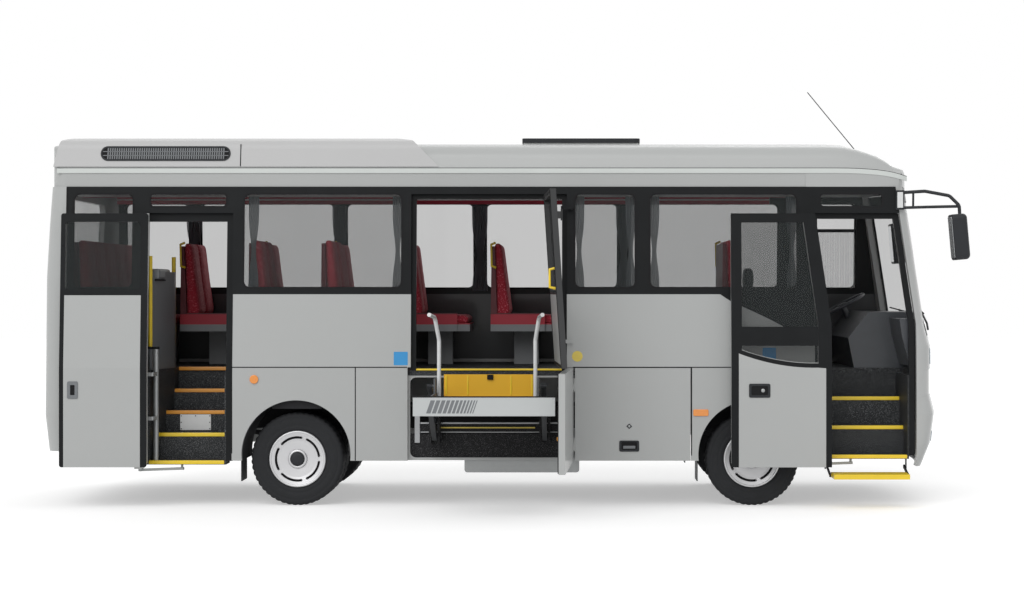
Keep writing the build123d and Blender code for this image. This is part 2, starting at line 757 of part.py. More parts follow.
def make_pod(filled_roof):
    """Air-conditioning pod that covers the rear half of the roof."""
    low = gutter_z + 14
    top = roof_z + 50
    rear = rear_x + 60
    half = side_y(gutter_z) - 8
    front = rear + 3180
    knee = (half - 35, top - 75)
    face = make_face([
        Line((-half, low), (half, low)), Line((half, low), knee),
        ThreePointArc(knee, (0, top), (-knee[0], knee[1])),
        Line((-knee[0], knee[1]), (-half, low)),
    ])
    face = fillet([v for v in face.vertices() if abs(v.Y - knee[1]) < 0.01], 90)
    plane = Plane(origin=(rear, 0, 0), x_dir=(0, 1, 0), z_dir=(1, 0, 0))
    pod = Part() + extrude(plane * face, front - rear)
    nose_cut = prism_y([(front - 600, top + 5), (front - 430, top - 8), (front - 220, top - 60),
                        (front + 10, low - 4), (front + 50, low - 4), (front + 50, top + 60),
                        (front - 600, top + 60)], -hw, hw)
    tail_cut = prism_y([(rear - 20, low), (rear, low), (rear + 55, top - 40), (rear + 85, top + 2),
                        (rear + 85, top + 60), (rear - 20, top + 60)], -hw, hw)
    keep("roof_pod", pod - nose_cut - tail_cut - filled_roof)


# Floor, steps and what stands on the floor

def stair_plan(x0, x1, taper, depth, count, grow=0):
    """Plan outline of a stairwell; its rear side slants inwards by the taper."""
    bend_y = stair_y + depth * (count - 1)
    end_y = stair_y + depth * count
    return [(x0 - grow, stair_y), (x0 + taper - grow, bend_y), (x0 + taper - grow, end_y), (x1 + grow, end_y),
            (x1 + grow, stair_y)]


def stair_sizes():
    """Both stairwells: edges, taper, heights and depth."""
    rear = (rear_door_x + 37, rear_door_x + rear_door_w - 67, rear_taper, (rear_sill_z,) + rear_steps,
            rear_step_depth)
    front = (front_door_x + 45, nose_x - 66, 0, (front_sill_z,) + front_steps, front_step_depth)
    return rear, front


def make_floor():
    """Cabin floor with the two stairwells cut out."""
    inside = hw - wall
    floor = block(side_rear_x, nose_x, -inside, inside, floor_z - floor_thick, floor_z)
    ring_y = -hw + wall + ring_depth
    for x0, x1, taper, levels, depth in stair_sizes():
        floor -= prism_z(stair_plan(x0, x1, taper, depth, len(levels)), 0, floor_z + 10)
    floor -= block(rear_door_x, rear_door_x + rear_door_w, -hw, ring_y, 0, floor_z + 10)
    floor -= block(front_door_x, nose_x + 10, -hw, ring_y, 0, floor_z + 10)
    floor -= block(nose_x - 70, nose_x + 10, -hw, stair_y + front_step_depth * 3, 0, floor_z + 10)
    keep("floor", floor)


def stairwell(x0, x1, taper, levels, depth):
    """Treads and risers between two side plates that follow the stairs."""
    count = len(levels)
    top = floor_z - floor_thick
    steps = Part()
    outline = [(stair_y, top)]
    for index, z in enumerate(levels):
        y0 = stair_y + depth * index
        y1 = y0 + depth
        riser_top = levels[index + 1] if index + 1 < count else top
        steps += block(x0, x1, y0, y1, z - tread_thick, z)
        steps += block(x0, x1, y1 - stair_plate, y1, z - tread_thick, riser_top)
        outline += [(y0, z - tread_thick), (y1, z - tread_thick)]
    outline.append((stair_y + depth * count, top))
    plan = prism_z(stair_plan(x0, x1, taper, depth, count), 0, floor_z)
    grown = prism_z(stair_plan(x0, x1, taper, depth, count, stair_plate), 0, floor_z)
    sides = (prism_x(outline, x0 - stair_plate, x1 + stair_plate) & grown) - plan
    return (steps & plan) + sides


def make_stairs():
    """Rear and front stairwells; the front one carries the fold-out step's hangers."""
    rear, front = stair_sizes()
    well = stairwell(*front)
    for xs, outward in step_arm_places():
        well += block(xs + outward * 12, xs + outward * 18, step_pivot_y - 25, step_pivot_y + 25,
                      step_pivot_z - 20, front_sill_z - tread_thick)
        well += rod((xs - outward * 6, step_pivot_y, step_pivot_z),
                    (xs + outward * 18, step_pivot_y, step_pivot_z), 8)
    keep("stairwells", stairwell(*rear), well)


def door_ring(x0, x1, sill, clear, top_clear, slanted):
    """Black frame behind a doorway, against the inside of the wall."""
    top = door_top_z + 8
    ring = side_slab(-1, x0, x1, sill, top, wall, wall + ring_depth)
    left, right = clear
    through = (-hw - 50, -hw + 400)
    if not slanted:
        return ring - block(left, right, *through, sill - 10, top_clear)
    lean = (top_clear - windscreen_z) * rake
    hole = prism_y([(left, sill - 10), (right, sill - 10), (right, windscreen_z), (right - lean, top_clear),
                    (left, top_clear)], *through)
    edge = (top + 10 - windscreen_z) * rake
    beyond = prism_y([(x1, windscreen_z), (x1 + 200, windscreen_z), (x1 + 200, top + 10),
                      (x1 - edge, top + 10)], *through)
    return ring - hole - beyond


def door_bearing(door_x):
    """Bracket on the door frame that holds the top of a door's post."""
    post_x = door_x + post_inset
    low = post_top_z + fit_gap
    bracket = block(door_x + 12, post_x + 26, post_y - 5, post_y + 26, low, low + 20)
    return bracket + block(door_x + 12, door_x + 24, -side_y(low) + wall + 10, post_y + 26, low, low + 20)


def make_door_frames():
    """Both passenger doorways' black frames with the posts' bearings, and the lift doorway's."""
    rear = door_ring(rear_door_x, rear_door_x + rear_door_w, rear_sill_z,
                     (rear_door_x + 25, rear_door_x + rear_door_w - 55), 2343, False)
    front = door_ring(front_door_x, nose_x - 8, front_sill_z, (front_door_x + 32, nose_x - 54), 2367, True)
    lift = side_slab(-1, lift_door_x, lift_door_x + lift_door_w, floor_z, lift_door_top_z, wall + 6,
                     wall + 36)
    lift -= block(lift_door_x + 40, lift_door_x + lift_door_w - 40, -hw - 50, -hw + 400, floor_z - 10,
                  lift_door_top_z - 40)
    lift += lift_frame_edges()
    keep("door_frames", rear + door_bearing(rear_door_x), front + door_bearing(front_door_x), lift)


def lift_frame_edges():
    """Flanges that fix the lift doorway's frame behind the wall's edges."""
    edges = Part()
    for x in (lift_door_x - 30, lift_door_x + lift_door_w):
        edges += side_slab(-1, x, x + 30, seam_z, lift_door_top_z, wall, wall + 36)
    return edges


# Passenger doors: closed place first, then the shift to where they stand open

def linkage(shift, out, length):
    """Arm vectors from the post to the leaf's pivot, open and closed."""
    chord = math.hypot(shift, out)
    rise = math.sqrt(length ** 2 - (chord / 2) ** 2)
    ux, uy = -shift / chord, -out / chord
    nx, ny = -uy, ux
    opened = (-shift / 2 + nx * rise, -out / 2 + ny * rise)
    closed = (shift / 2 + nx * rise, out / 2 + ny * rise)
    return opened, closed


rear_link = 345
front_link = 368
rear_open, rear_closed = linkage(rear_shift, door_out, rear_link)
front_open, front_closed = linkage(front_shift, door_out, front_link)


def leaf_outline(x0, x1, z0, z1, slanted):
    """Leaf outline in XZ."""
    if slanted:
        return [(x0, z0), (x1, z0), (x1, windscreen_z), (x1 - (z1 - windscreen_z) * rake, z1), (x0, z1)]
    return [(x0, z0), (x1, z0), (x1, z1), (x0, z1)]


def curved_pane(x0, x1, low_rear, low_front, top):
    """Opening of the front door's glass, with its curved lower edge and raked front edge."""
    bend = (low_rear + low_front) / 2 - 30
    arc = ThreePointArc((x0, low_rear), ((x0 + x1) / 2, bend), (x1, low_front))
    lines = [Line((x1, low_front), (x1, windscreen_z)),
             Line((x1, windscreen_z), (x1 - (top - windscreen_z) * rake, top)),
             Line((x1 - (top - windscreen_z) * rake, top), (x0, top)), Line((x0, top), (x0, low_rear))]
    plane = Plane(origin=(0, -hw - 20, 0), x_dir=(1, 0, 0), z_dir=(0, -1, 0))
    return Part() + extrude(plane * make_face([arc] + lines), -220)


def make_door(word, x0, x1, sill_z, shift, opened, closed, slanted, glass_hole):
    """One outswing door with its linkage, standing open."""
    top = door_top_z - bay_clearance
    leaf_x0 = x0 + bay_clearance
    leaf_x1 = x1 - bay_clearance
    leaf = side_slab(-1, leaf_x0, leaf_x1, leaf_low_z, top, 0, leaf_thick)
    if slanted:
        leaf = leaf & prism_y(leaf_outline(leaf_x0, leaf_x1, leaf_low_z, top, True), -hw - 20, -hw + 200)
    pane = side_slab(-1, leaf_x0, leaf_x1, seam_z + 5, top, glass_recess, glass_recess + glass_thick)
    pane = pane & glass_hole
    leaf -= glass_hole

    post_x = x0 + post_inset
    pivot = (post_x + closed[0], post_y + closed[1])
    half = 15
    for z in arm_heights:
        inner_y = -side_y(z) + leaf_thick
        for z0, z1 in ((z + half + 5, z + half + 13), (z - half - 13, z - half - 5)):
            leaf += block(pivot[0] - 22, pivot[0] + 22, inner_y - 4, pivot[1] + 16, z0, z1)
        leaf += rod((pivot[0], pivot[1], z - half - 5), (pivot[0], pivot[1], z + half + 5), 8)
    rod_x = post_x + rod_offset
    foot = (rod_x + closed[0], post_y + closed[1])
    plate_low = sill_z - tread_thick - 20
    leaf += block(foot[0] - 30, foot[0] + 30, -hw + 5, foot[1] + 20, plate_low, plate_low + 12)
    leaf += block(foot[0] - 30, foot[0] + 30, -hw + 5, -hw + leaf_thick - 5, plate_low, leaf_low_z)
    leaf += rod((foot[0], foot[1], plate_low - 28), (foot[0], foot[1], plate_low), 6)

    move = Pos(-shift, -door_out, 0)
    keep(f"{word}_door_leaf", move * leaf)
    keep(f"{word}_door_glass", move * pane)

    pole = rod((post_x, post_y, sill_z + fit_gap), (post_x, post_y, post_top_z), post_r)
    for z in arm_heights:
        pole += bent_bar((post_x, post_y), (-10, -124), opened, z, half)
    keep(f"{word}_door_post", pole)
    rod_z = plate_low - 26
    end = (rod_x + opened[0], post_y + opened[1])
    width = 12
    norm = math.hypot(*opened)
    nx, ny = -opened[1] / norm * width, opened[0] / norm * width
    bar = prism_z([(rod_x + nx, post_y + ny), (end[0] + nx, end[1] + ny), (end[0] - nx, end[1] - ny),
                   (rod_x - nx, post_y - ny)], rod_z, rod_z + 20)
    for x, y in (end, (rod_x, post_y)):
        bar += rod((x, y, rod_z), (x, y, rod_z + 20), 18)
    bar += rod((rod_x, post_y, rod_z), (rod_x, post_y, sill_z - tread_thick - fit_gap), 10)
    bar -= rod((end[0], end[1], rod_z - 5), (end[0], end[1], rod_z + 25), 7)
    keep(f"{word}_door_rod", bar)


def bent_bar(post, elbow, end, z, half):
    """Flat cranked arm in plan, from the post by the elbow to its end."""
    points = [post, (post[0] + elbow[0], post[1] + elbow[1]), (post[0] + end[0], post[1] + end[1])]
    width = 14
    bar = Part()
    for (xa, ya), (xb, yb) in zip(points, points[1:]):
        run = math.hypot(xb - xa, yb - ya)
        nx, ny = -(yb - ya) / run * width, (xb - xa) / run * width
        bar += prism_z([(xa + nx, ya + ny), (xb + nx, yb + ny), (xb - nx, yb - ny), (xa - nx, ya - ny)],
                       z - half, z + half)
        bar += rod((xb, yb, z - half), (xb, yb, z + half), width + 2)
    tip = points[-1]
    return bar - rod((tip[0], tip[1], z - half - 5), (tip[0], tip[1], z + half + 5), 8.05)


def make_doors():
    """Both passenger doors."""
    x0, x1 = rear_door_x, rear_door_x + rear_door_w
    top = door_top_z - bay_clearance - 70
    hole = block(x0 + 48, x1 - 68, -hw - 20, -hw + 200, belt_z + 37, top)
    make_door("rear", x0, x1, rear_sill_z, rear_shift, rear_open, rear_closed, False, hole)
    hole = curved_pane(front_door_x + 94, nose_x - 118, 1292, 1186, top)
    make_door("front", front_door_x, nose_x, front_sill_z, front_shift, front_open, front_closed, True, hole)


# Lift doors, luggage flap and boot lid

def make_lift_doors():
    """Upper and lower lift doors, open, and the luggage flap, shut."""
    x0 = lift_door_x + bay_clearance
    z0, z1 = seam_z + 32, lift_door_top_z - 16
    hinge_x = upper_hinge_x
    hinge = (upper_hinge_x, upper_hinge_y)
    leaf = side_slab(-1, x0 + 30, hinge_x - 8, z0, z1, 0, leaf_thick)
    hole = window_y(x0 + 75, hinge_x - 55, glass_low_z - 30, z1 - 45, 50, -hw - 20, -hw + 300)
    pane = side_slab(-1, x0, hinge_x, glass_low_z - 40, z1, glass_recess, glass_recess + glass_thick) & hole
    leaf -= hole
    for z in upper_hinge_heights:
        knuckle = rod((hinge[0], hinge[1], z - 45), (hinge[0], hinge[1], z + 45), 9)
        strap = prism_z([(hinge[0], hinge[1] - 6), (hinge[0], hinge[1] + 6),
                         (hinge_x - 10, -side_y(z) + 8), (hinge_x - 50, -side_y(z) + 8),
                         (hinge_x - 50, -side_y(z) - 4)], z - 30, z + 30)
        leaf = leaf + knuckle + strap
    swing = Pos(hinge[0], hinge[1]) * Rot(0, 0, upper_leaf_open_deg) * Pos(-hinge[0], -hinge[1])
    keep("upper_lift_door_leaf", swing * leaf)
    keep("upper_lift_door_glass", swing * pane)

    x0 = bay_x + 4
    x1 = bay_x + bay_w - 4
    hinge = (lower_hinge_x, lower_hinge_y)
    leaf = side_slab(-1, x0, x1 - 2, skirt_z, seam_z - 4, 0, wall)
    for z in lower_hinge_heights:
        leaf += rod((hinge[0], hinge[1], z - 40), (hinge[0], hinge[1], z + 40), 6)
        leaf += block(x1 - 60, x1 + 2, -hw - 10, -hw, z - 25, z + 25)
    swing = Pos(hinge[0], hinge[1]) * Rot(0, 0, lower_leaf_open_deg) * Pos(-hinge[0], -hinge[1])
    keep("lower_lift_door", swing * leaf)

    x0 = flap_x + 5
    x1 = flap_x + flap_w - 5
    keep("luggage_flap", side_slab(-1, x0, x1, skirt_z, seam_z - 6, 0, wall))


def make_lift():
    """Wheelchair lift, deployed and part way up."""
    side_x = lift_width / 2 + 50
    half = 20
    y_in = -hw + wall + 40
    low = 470
    cassette = block(lift_x - 600, lift_x + 600, y_in, 150, low, low + 10)
    for side in (-1, 1):
        xs = lift_x + side * 590
        cassette += block(xs - 10, xs + 10, y_in, 150, low, rail_low)
    cassette += block(lift_x - 600, lift_x + 600, 130, 150, low, rail_low)

    cassette += block(lift_x - 577, lift_x + 577, -1075, -1000, 600, 690)
    for side in (-1, 1):
        xs = lift_x + side * side_x
        for x in (xs - 35, xs + 35):
            cassette += block(x - 10, x + 10, arm_pivot_y - 40, -1000, arm_pivot_z - 50,
                              arm_pivot_z + link_rise + 40)
        for dz in (0, link_rise):
            pin_z = arm_pivot_z + dz
            cassette += rod((xs - 45, arm_pivot_y, pin_z), (xs + 45, arm_pivot_y, pin_z), 12)
    cassette += block(lift_x - 577, lift_x + 577, -1040, -1000, low + 10, 600)
    keep("lift_cassette", cassette)

    pin_z = platform_z - 20
    angle = math.asin((pin_z - arm_pivot_z) / arm_len)
    reach = arm_len * math.cos(angle)
    pin_y = arm_pivot_y - reach
    for name, dz in (("lift_arms", 0), ("lift_links", link_rise)):
        arms = []
        for side in (-1, 1):
            xs = lift_x + side * side_x
            width = 28 if dz == 0 else 18
            start = (arm_pivot_y, arm_pivot_z + dz)
            end = (pin_y, pin_z + dz)
            uy, uz = (end[0] - start[0]) / arm_len, (end[1] - start[1]) / arm_len
            ny, nz = -uz * width, uy * width
            bar = prism_x([(start[0] + ny, start[1] + nz), (end[0] + ny, end[1] + nz),
                           (end[0] - ny, end[1] - nz), (start[0] - ny, start[1] - nz)], xs - half, xs + half)
            for y, z in (start, end):
                bar += rod((xs - half, y, z), (xs + half, y, z), width)
                bore = 12.6 if dz and y == pin_y else 12.05
                bar -= rod((xs - half - 5, y, z), (xs + half + 5, y, z), bore)
            arms.append(bar)
        keep(name, *arms)

    y_out = pin_y - lift_depth / 2
    y_near = pin_y + lift_depth / 2
    half_w = lift_width / 2
    deck = block(lift_x - half_w, lift_x + half_w, y_out, y_near, platform_z - 30, platform_z)
    for side in (-1, 1):
        xe = lift_x + side * half_w
        deck += block(xe, xe + side * 14, y_out, y_near, platform_z - 40, platform_z + 55)
        deck += block(xe, xe + side * 14, pin_y - 70, pin_y + 70, platform_z, platform_z + link_rise + 40)
        for dz in (0, link_rise):
            deck += rod((xe, pin_y, pin_z + dz), (lift_x + side * (side_x + half), pin_y, pin_z + dz), 12)
    deck += block(lift_x - 543, lift_x + 543, y_out - 25, y_out, platform_z - 96, platform_z + 52)
    deck += block(lift_x - 365, lift_x + 365, y_near - 18, y_near, platform_z, platform_z + 184)
    keep("lift_platform", deck)
    rails = []
    for side in (-1, 1):
        xs = lift_x + side * (half_w - 18)
        rail = tube_path([(xs, pin_y + 120, platform_z), (xs, pin_y + 120, platform_z + 470),
                          (xs + side * 30, pin_y + 60, platform_z + 650),
                          (xs + side * 60, pin_y - 160, platform_z + 674)], 16, 60)
        rails.append(rail)
    keep("lift_handrails", *rails)


# Fold-out step under the front door

def step_arm_places():
    """Places of the step's two arms, each with its outward direction."""
    return ((front_door_x + 115, -1), (nose_x - 82, 1))


def make_step():
    """Tread on two arms that swing out from under the front sill."""
    (rear_arm_x, _), (front_arm_x, _) = step_arm_places()
    eye_y, eye_z = step_tread_y + 60, step_top_z - 20
    tread = block(rear_arm_x + 12, front_arm_x - 12, step_tread_y - 125, step_tread_y + 125, step_top_z - 40,
                  step_top_z)
    arms = []
    for xs, outward in step_arm_places():
        uy, uz = eye_y - step_pivot_y, eye_z - step_pivot_z
        norm = math.hypot(uy, uz)
        ny, nz = -uz / norm * 12, uy / norm * 12
        bar = prism_x([(step_pivot_y + ny, step_pivot_z + nz), (eye_y + ny, eye_z + nz),
                       (eye_y - ny, eye_z - nz), (step_pivot_y - ny, step_pivot_z - nz)], xs - 6, xs + 6)
        for y, z in ((step_pivot_y, step_pivot_z), (eye_y, eye_z)):
            bar += rod((xs - 6, y, z), (xs + 6, y, z), 17)
            bar -= rod((xs - 10, y, z), (xs + 10, y, z), 8.05)
        arms.append(bar)
        tread += rod((xs + outward * 6, eye_y, eye_z), (xs - outward * 14, eye_y, eye_z), 8)
    keep("fold_step", tread)
    keep("fold_step_arms", *arms)


# Cabin furniture

def seat_pair(x_back, side):
    """Shell, cushions and backs of one double seat that faces forward."""
    shells = []
    pads = []
    y_wall = side * seat_wall_y
    for index in range(2):
        y0 = y_wall - side * index * (seat_w + seat_gap)
        y1 = y0 - side * seat_w
        back = prism_y([(x_back + 60, cushion_low + 60), (x_back + 175, cushion_low + 120),
                        (x_back + 90, back_high), (x_back + 35, back_high)], y0, y1)
        pads.append(back)
        pads.append(block(x_back + 180, x_back + 590, y0, y1, cushion_low + 40, cushion_high))
    y_end = y_wall - side * (2 * seat_w + seat_gap)
    pan = cushion_low + 40 - fit_gap
    shell = prism_y([(x_back, cushion_low - 30), (x_back + 590, cushion_low - 30), (x_back + 590, pan),
                     (x_back + 60, pan), (x_back + 36, back_high - 40), (x_back + 8, back_high - 40)],
                    y_wall, y_end)
    leg = block(x_back + 200, x_back + 420, (y_wall + y_end) / 2 - 60, (y_wall + y_end) / 2 + 60, floor_z,
                cushion_low - 30)
    arm_y0, arm_y1 = y_end - side * 1, y_end - side * 25
    end_panel = block(x_back + 30, x_back + 480, arm_y0, arm_y1, cushion_low - 30, cushion_high + 20)
    shells.append(shell + leg)
    shells.append(end_panel + block(x_back + 30, x_back + 200, y_end, arm_y1, cushion_low - 30, cushion_low))
    return shells, pads


def make_seats():
    """Passenger seats on both sides, the rear bench and the driver's seat."""
    shells = []
    pads = []
    for side, rows in ((1, left_rows), (-1, right_rows)):
        for x in rows:
            more_shells, more_pads = seat_pair(x, side)
            shells.append(more_shells[0] + more_shells[1])
            pads.extend(more_pads)
    x = side_rear_x + 75
    span = hw - wall - 105
    width = (2 * span - 4 * seat_gap) / 5
    pan = cushion_low + 40 - fit_gap
    base = block(x + 40, x + 480, -span, span, floor_z, pan)
    for k in range(5):
        y0 = -span + k * (width + seat_gap)
        pads.append(prism_y([(x + 20, cushion_low + 60), (x + 135, cushion_low + 120), (x + 60, back_high),
                             (x + 5, back_high)], y0, y0 + width))
        pads.append(block(x + 140, x + 540, y0, y0 + width, cushion_low + 40, cushion_high))
    back = prism_y([(x - 70, floor_z), (x + 39, floor_z), (x + 20 - fit_gap, cushion_low + 60),
                    (x + 5, back_high - 30), (x - 30, back_high - 30)], -span, span)
    shells.append(base + back + block(x + 30, x + 45, -span, span, floor_z, cushion_low))

    x, y = driver_x, driver_y
    seat_z = floor_z + 330
    back = prism_y([(x + 10, seat_z + 20), (x + 130, seat_z + 60), (x + 60, driver_back_z),
                    (x - 60, driver_back_z)], y - 240, y + 240)
    head = block(x - 60, x + 20, y - 120, y + 120, driver_back_z + 15, driver_back_z + 190)
    stalks = block(x - 36, x - 10, y - 60, y + 60, driver_back_z - 5, driver_back_z + 20)
    pads.append(back + head + stalks)
    pads.append(block(x + 136, x + 560, y - 245, y + 245, seat_z, seat_z + 90))
    base = block(x + 60, x + 520, y - 220, y + 220, seat_z - 80, seat_z)
    column = block(x + 150, x + 430, y - 130, y + 130, floor_z, seat_z - 80)
    shells.append(base + column + block(x + 10, x + 62, y - 200, y + 200, seat_z - 60, seat_z + 19.7))
    keep("seat_shells", *shells)
    keep("seat_pads", *pads)


def make_dashboard():
    """Dashboard with its shelf before the steps, and the steering wheel on its column."""
    high = 1590
    dash_x = front_x - 687
    room = nose_solid(floor_z, high, wall + 8, nose_x - 500)
    end_y = stair_y + front_step_depth * 3 + 8
    profile = [(dash_x, floor_z), (front_x, floor_z), (front_x, high), (dash_x + 120, high),
               (dash_x - 50, 1370)]
    dash = prism_y(profile, end_y, hw) & room
    shelf_side = [(dash_x + 385, 1150), (front_x, 1150), (front_x, 1540), (dash_x + 300, 1540),
                  (dash_x + 320, 1400)]
    shelf = prism_y(shelf_side, -hw + wall + ring_depth + 45, end_y)
    dash += shelf & room
    tilt = 28
    wheel_x, wheel_z0 = dash_x + 30, 1640
    place = Pos(wheel_x, driver_y, wheel_z0) * Rot(0, -tilt, 0)
    dash += place * Torus(215, 15)
    for angle in (90, 210, 330):
        dash += place * Rot(0, 0, angle) * Pos(108, 0, 0) * Box(216, 34, 12)
    dash += place * Cylinder(45, 30)
    dx, dz = math.sin(math.radians(tilt)), math.cos(math.radians(tilt))
    dash += rod((wheel_x, driver_y, wheel_z0), (wheel_x + dx * 260, driver_y, wheel_z0 - dz * 260), 28)
    keep("dashboard", dash)


def make_cabin():
    """Luggage racks and the partition by the rear steps, with its rails."""
    racks = []
    for side in (-1, 1):
        points = [(side * (side_y(2572) - wall), 2572), (side * 700, 2560), (side * 700, 2640),
                  (side * (side_y(2628) - wall), 2628)]
        racks.append(prism_x(points, side_rear_x + 40, front_door_x - 200))
    keep("luggage_racks", *racks)

    x0 = rear_door_x + 37 - stair_plate - 4
    slant = rear_taper / (rear_step_depth * 3)
    near_y, far_y = stair_y + 130, stair_y + 740
    ends = [(x0 + slant * (y - stair_y), y) for y in (near_y, far_y - 110)] + [(x0 + rear_taper, far_y)]
    points = ends + [(x - 34, y) for x, y in reversed(ends)]
    panel = prism_z(points, floor_z, 1930)
    for x, y in (ends[0], ends[-1]):
        rail_x = x - 17
        panel += rod((rail_x, y, floor_z), (rail_x, y, 2060), 17)
    keep("partition", panel)


def make_curtains():
    """Tied curtains beside the windows, as thin closed solids."""
    z0, z1 = glass_low_z - 20, glass_top_z - 25
    tie_z = (z0 + z1) / 2 - 60
    panels = []
    for side, centres in ((-1, (-2240, -1050, 450, 875, 1070, 2205)), (1, (-3083, -1740, -456, 870))):
        half = 45 if side < 0 else 75
        for x in centres:
            outline = prism_y([(x - half, z0), (x - half * 0.4, tie_z), (x - half, z1), (x + half, z1),
                               (x + half * 0.4, tie_z), (x + half, z0)], -hw, hw)
            slab = side_slab(side, x - half, x + half, z0, z1, wall + fit_gap, wall + 22)
            panels.append(slab & outline)
    keep("curtains", *panels)


def make_outside():
    """Wheel tunnels with their mud flaps, and the mirrors."""
    tunnels = []
    for axle_x, depth in ((front_axle_x, front_tunnel_depth), (rear_axle_x, rear_tunnel_depth)):
        for side in (-1, 1):
            y0 = side * (hw - wall)
            y1 = side * (hw - depth)
            tunnel = arch_cut(axle_x, arch_r + arch_wall, y0, y1) - arch_cut(axle_x, arch_r, y0, y1)
            tunnel -= block(axle_x - 600, axle_x + 600, -hw, hw, -100, skirt_z)
            flap_x = axle_x - arch_r - arch_wall
            tunnel += block(flap_x, flap_x + 8, y0, side * (hw - 330), 205, arch_z)
            tunnels.append(tunnel)
    keep("wheel_tunnels", *tunnels)

    low, high = 2440, 2600
    skin = nose_solid(low - 10, high + 10, -fit_gap, nose_x - 400)
    mirrors = []
    for side in (-1, 1):
        foot = block(nose_x - 160, nose_x - 90, side * 990, side * (side_y(high) + 25), low, high)
        foot_y = side * (side_y(high) + 12)
        tip_x = nose_x + (near_mirror_reach if side < 0 else far_mirror_reach)
        upper = tube_path([(nose_x - 125, foot_y, 2580), (nose_x + 70, side * 1120, 2590),
                           (tip_x - 80, side * 1185, 2550), (tip_x - 5, side * 1215, 2470),
                           (tip_x, side * 1220, 2370)], 14, 50)
        lower = tube_path([(nose_x - 125, foot_y, 2456), (nose_x + 90, side * 1125, 2460),
                           (tip_x - 2, side * 1217, 2462)], 12, 80)
        strut = rod((nose_x - 20, side * 1082, 2456), (nose_x - 20, side * 1090, 2586), 9)
        head = Part() + window_x(-105, 105, -187, 187, 40, -63, 63)
        head = fillet(head.faces().sort_by(Axis.X)[-1].edges(), 35)
        head = fillet(head.faces().sort_by(Axis.X)[0].edges(), 12)
        head = Pos(tip_x - 5, side * 1220, 2212) * Rot(0, -mirror_lean, 0) * head
        edge = side_slab(side, nose_x - 400, nose_x, low - 10, high + 10, -fit_gap, wall + fit_gap)
        mirrors.append(foot + upper + lower + strut + head - skin - edge)
    keep("mirrors", *mirrors)


def main():
    """Build every piece and write it."""
    make_wheels()
    make_axles()
    make_chassis()
    side_panes = make_sides()
    front_bumper, front_lamps, windscreen = make_nose()
    rear_bumper, rear_lamps, rear_pane = make_tail()
    keep("bumpers", front_bumper, rear_bumper)
    keep("lamps", *front_lamps, *rear_lamps)
    keep("glazing", windscreen, rear_pane, *side_panes)
    make_roof()
    make_floor()
    make_stairs()
    make_door_frames()
    make_doors()
    make_lift_doors()
    make_lift()
    make_step()
    make_seats()
    make_dashboard()
    make_cabin()
    make_curtains()
    make_outside()
    for name, shape in nodes.items():
        export_step(shape, f"parts/{name}.step")


main()
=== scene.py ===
"""Looks of the passenger midibus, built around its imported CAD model. Metres, +X forward, +Z up."""

import bmesh
import bpy
import json
import math
from functools import partial
from mathutils import Matrix, Vector


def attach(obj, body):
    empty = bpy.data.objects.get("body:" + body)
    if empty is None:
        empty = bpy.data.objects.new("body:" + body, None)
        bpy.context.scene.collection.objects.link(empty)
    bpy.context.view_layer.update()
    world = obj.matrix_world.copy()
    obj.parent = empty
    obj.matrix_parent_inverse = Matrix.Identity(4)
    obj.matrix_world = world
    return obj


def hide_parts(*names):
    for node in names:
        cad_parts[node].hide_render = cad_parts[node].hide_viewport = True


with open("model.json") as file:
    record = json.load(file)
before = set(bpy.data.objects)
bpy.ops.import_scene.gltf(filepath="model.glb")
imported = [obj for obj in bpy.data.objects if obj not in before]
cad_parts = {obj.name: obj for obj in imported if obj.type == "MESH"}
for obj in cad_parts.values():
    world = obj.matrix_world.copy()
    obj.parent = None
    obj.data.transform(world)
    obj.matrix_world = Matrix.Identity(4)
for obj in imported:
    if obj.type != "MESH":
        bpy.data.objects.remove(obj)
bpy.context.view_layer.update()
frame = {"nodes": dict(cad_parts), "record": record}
NODES = frame["nodes"]
ROOT = "coach_body"

# Body sides: half width, height of the seam where the wall starts to lean in, and the lean
HALF = 1.14
SEAM = 1.144
LEAN = math.tan(math.radians(3.67))
WALL = 0.05
GLASS_LOW, GLASS_TOP = 1.790, 2.580
BELT = 1.743
FLOOR = 1.115
SKIRT = 0.377
WHEEL_Z = 0.3835
FRONT_AXLE, REAR_AXLE = 1.875, -1.875
WHEEL_Y = 0.935
REAR_END, NOSE = -3.780, 3.219
WINDSCREEN_Z, RAKE = 1.500, 0.1408
REAR_DOOR = (-3.133, -2.403)
FRONT_DOOR = (2.385, 3.219)
LIFT_DOOR = (-0.934, 0.348)
BAY = (-0.960, 0.410)
DOOR_OUT = 0.150
REAR_SHIFT, FRONT_SHIFT = 0.660, 0.705


def skin(z):
    """Half width of the body's skin at a height."""
    return HALF - max(0.0, z - SEAM) * LEAN


# Camera at the photograph's angle

def make_camera():
    data = bpy.data.cameras.new("photo_camera")
    data.sensor_width = 36
    data.lens = 75.4
    data.shift_x = -0.057
    data.shift_y = -0.005
    data.clip_end = 200
    camera = bpy.data.objects.new("photo_camera", data)
    camera.location = (0.377, -18.74, 1.771)
    camera.rotation_euler = (math.radians(90), 0, 0)
    bpy.context.collection.objects.link(camera)
    bpy.context.scene.camera = camera


# Shader helpers

def feed(tree, socket, value):
    """Links or sets one input."""
    if isinstance(value, bpy.types.NodeSocket):
        tree.links.new(value, socket)
    else:
        socket.default_value = value


def add(tree, kind, inputs=(), **settings):
    """New node with its settings and inputs, given by name or number."""
    node = tree.nodes.new(kind)
    for key, value in settings.items():
        setattr(node, key, value)
    for key, value in dict(inputs).items():
        feed(tree, node.inputs[key], value)
    return node


def calc(tree, operation, a, b=0.0):
    return add(tree, "ShaderNodeMath", {0: a, 1: b}, operation=operation).outputs[0]


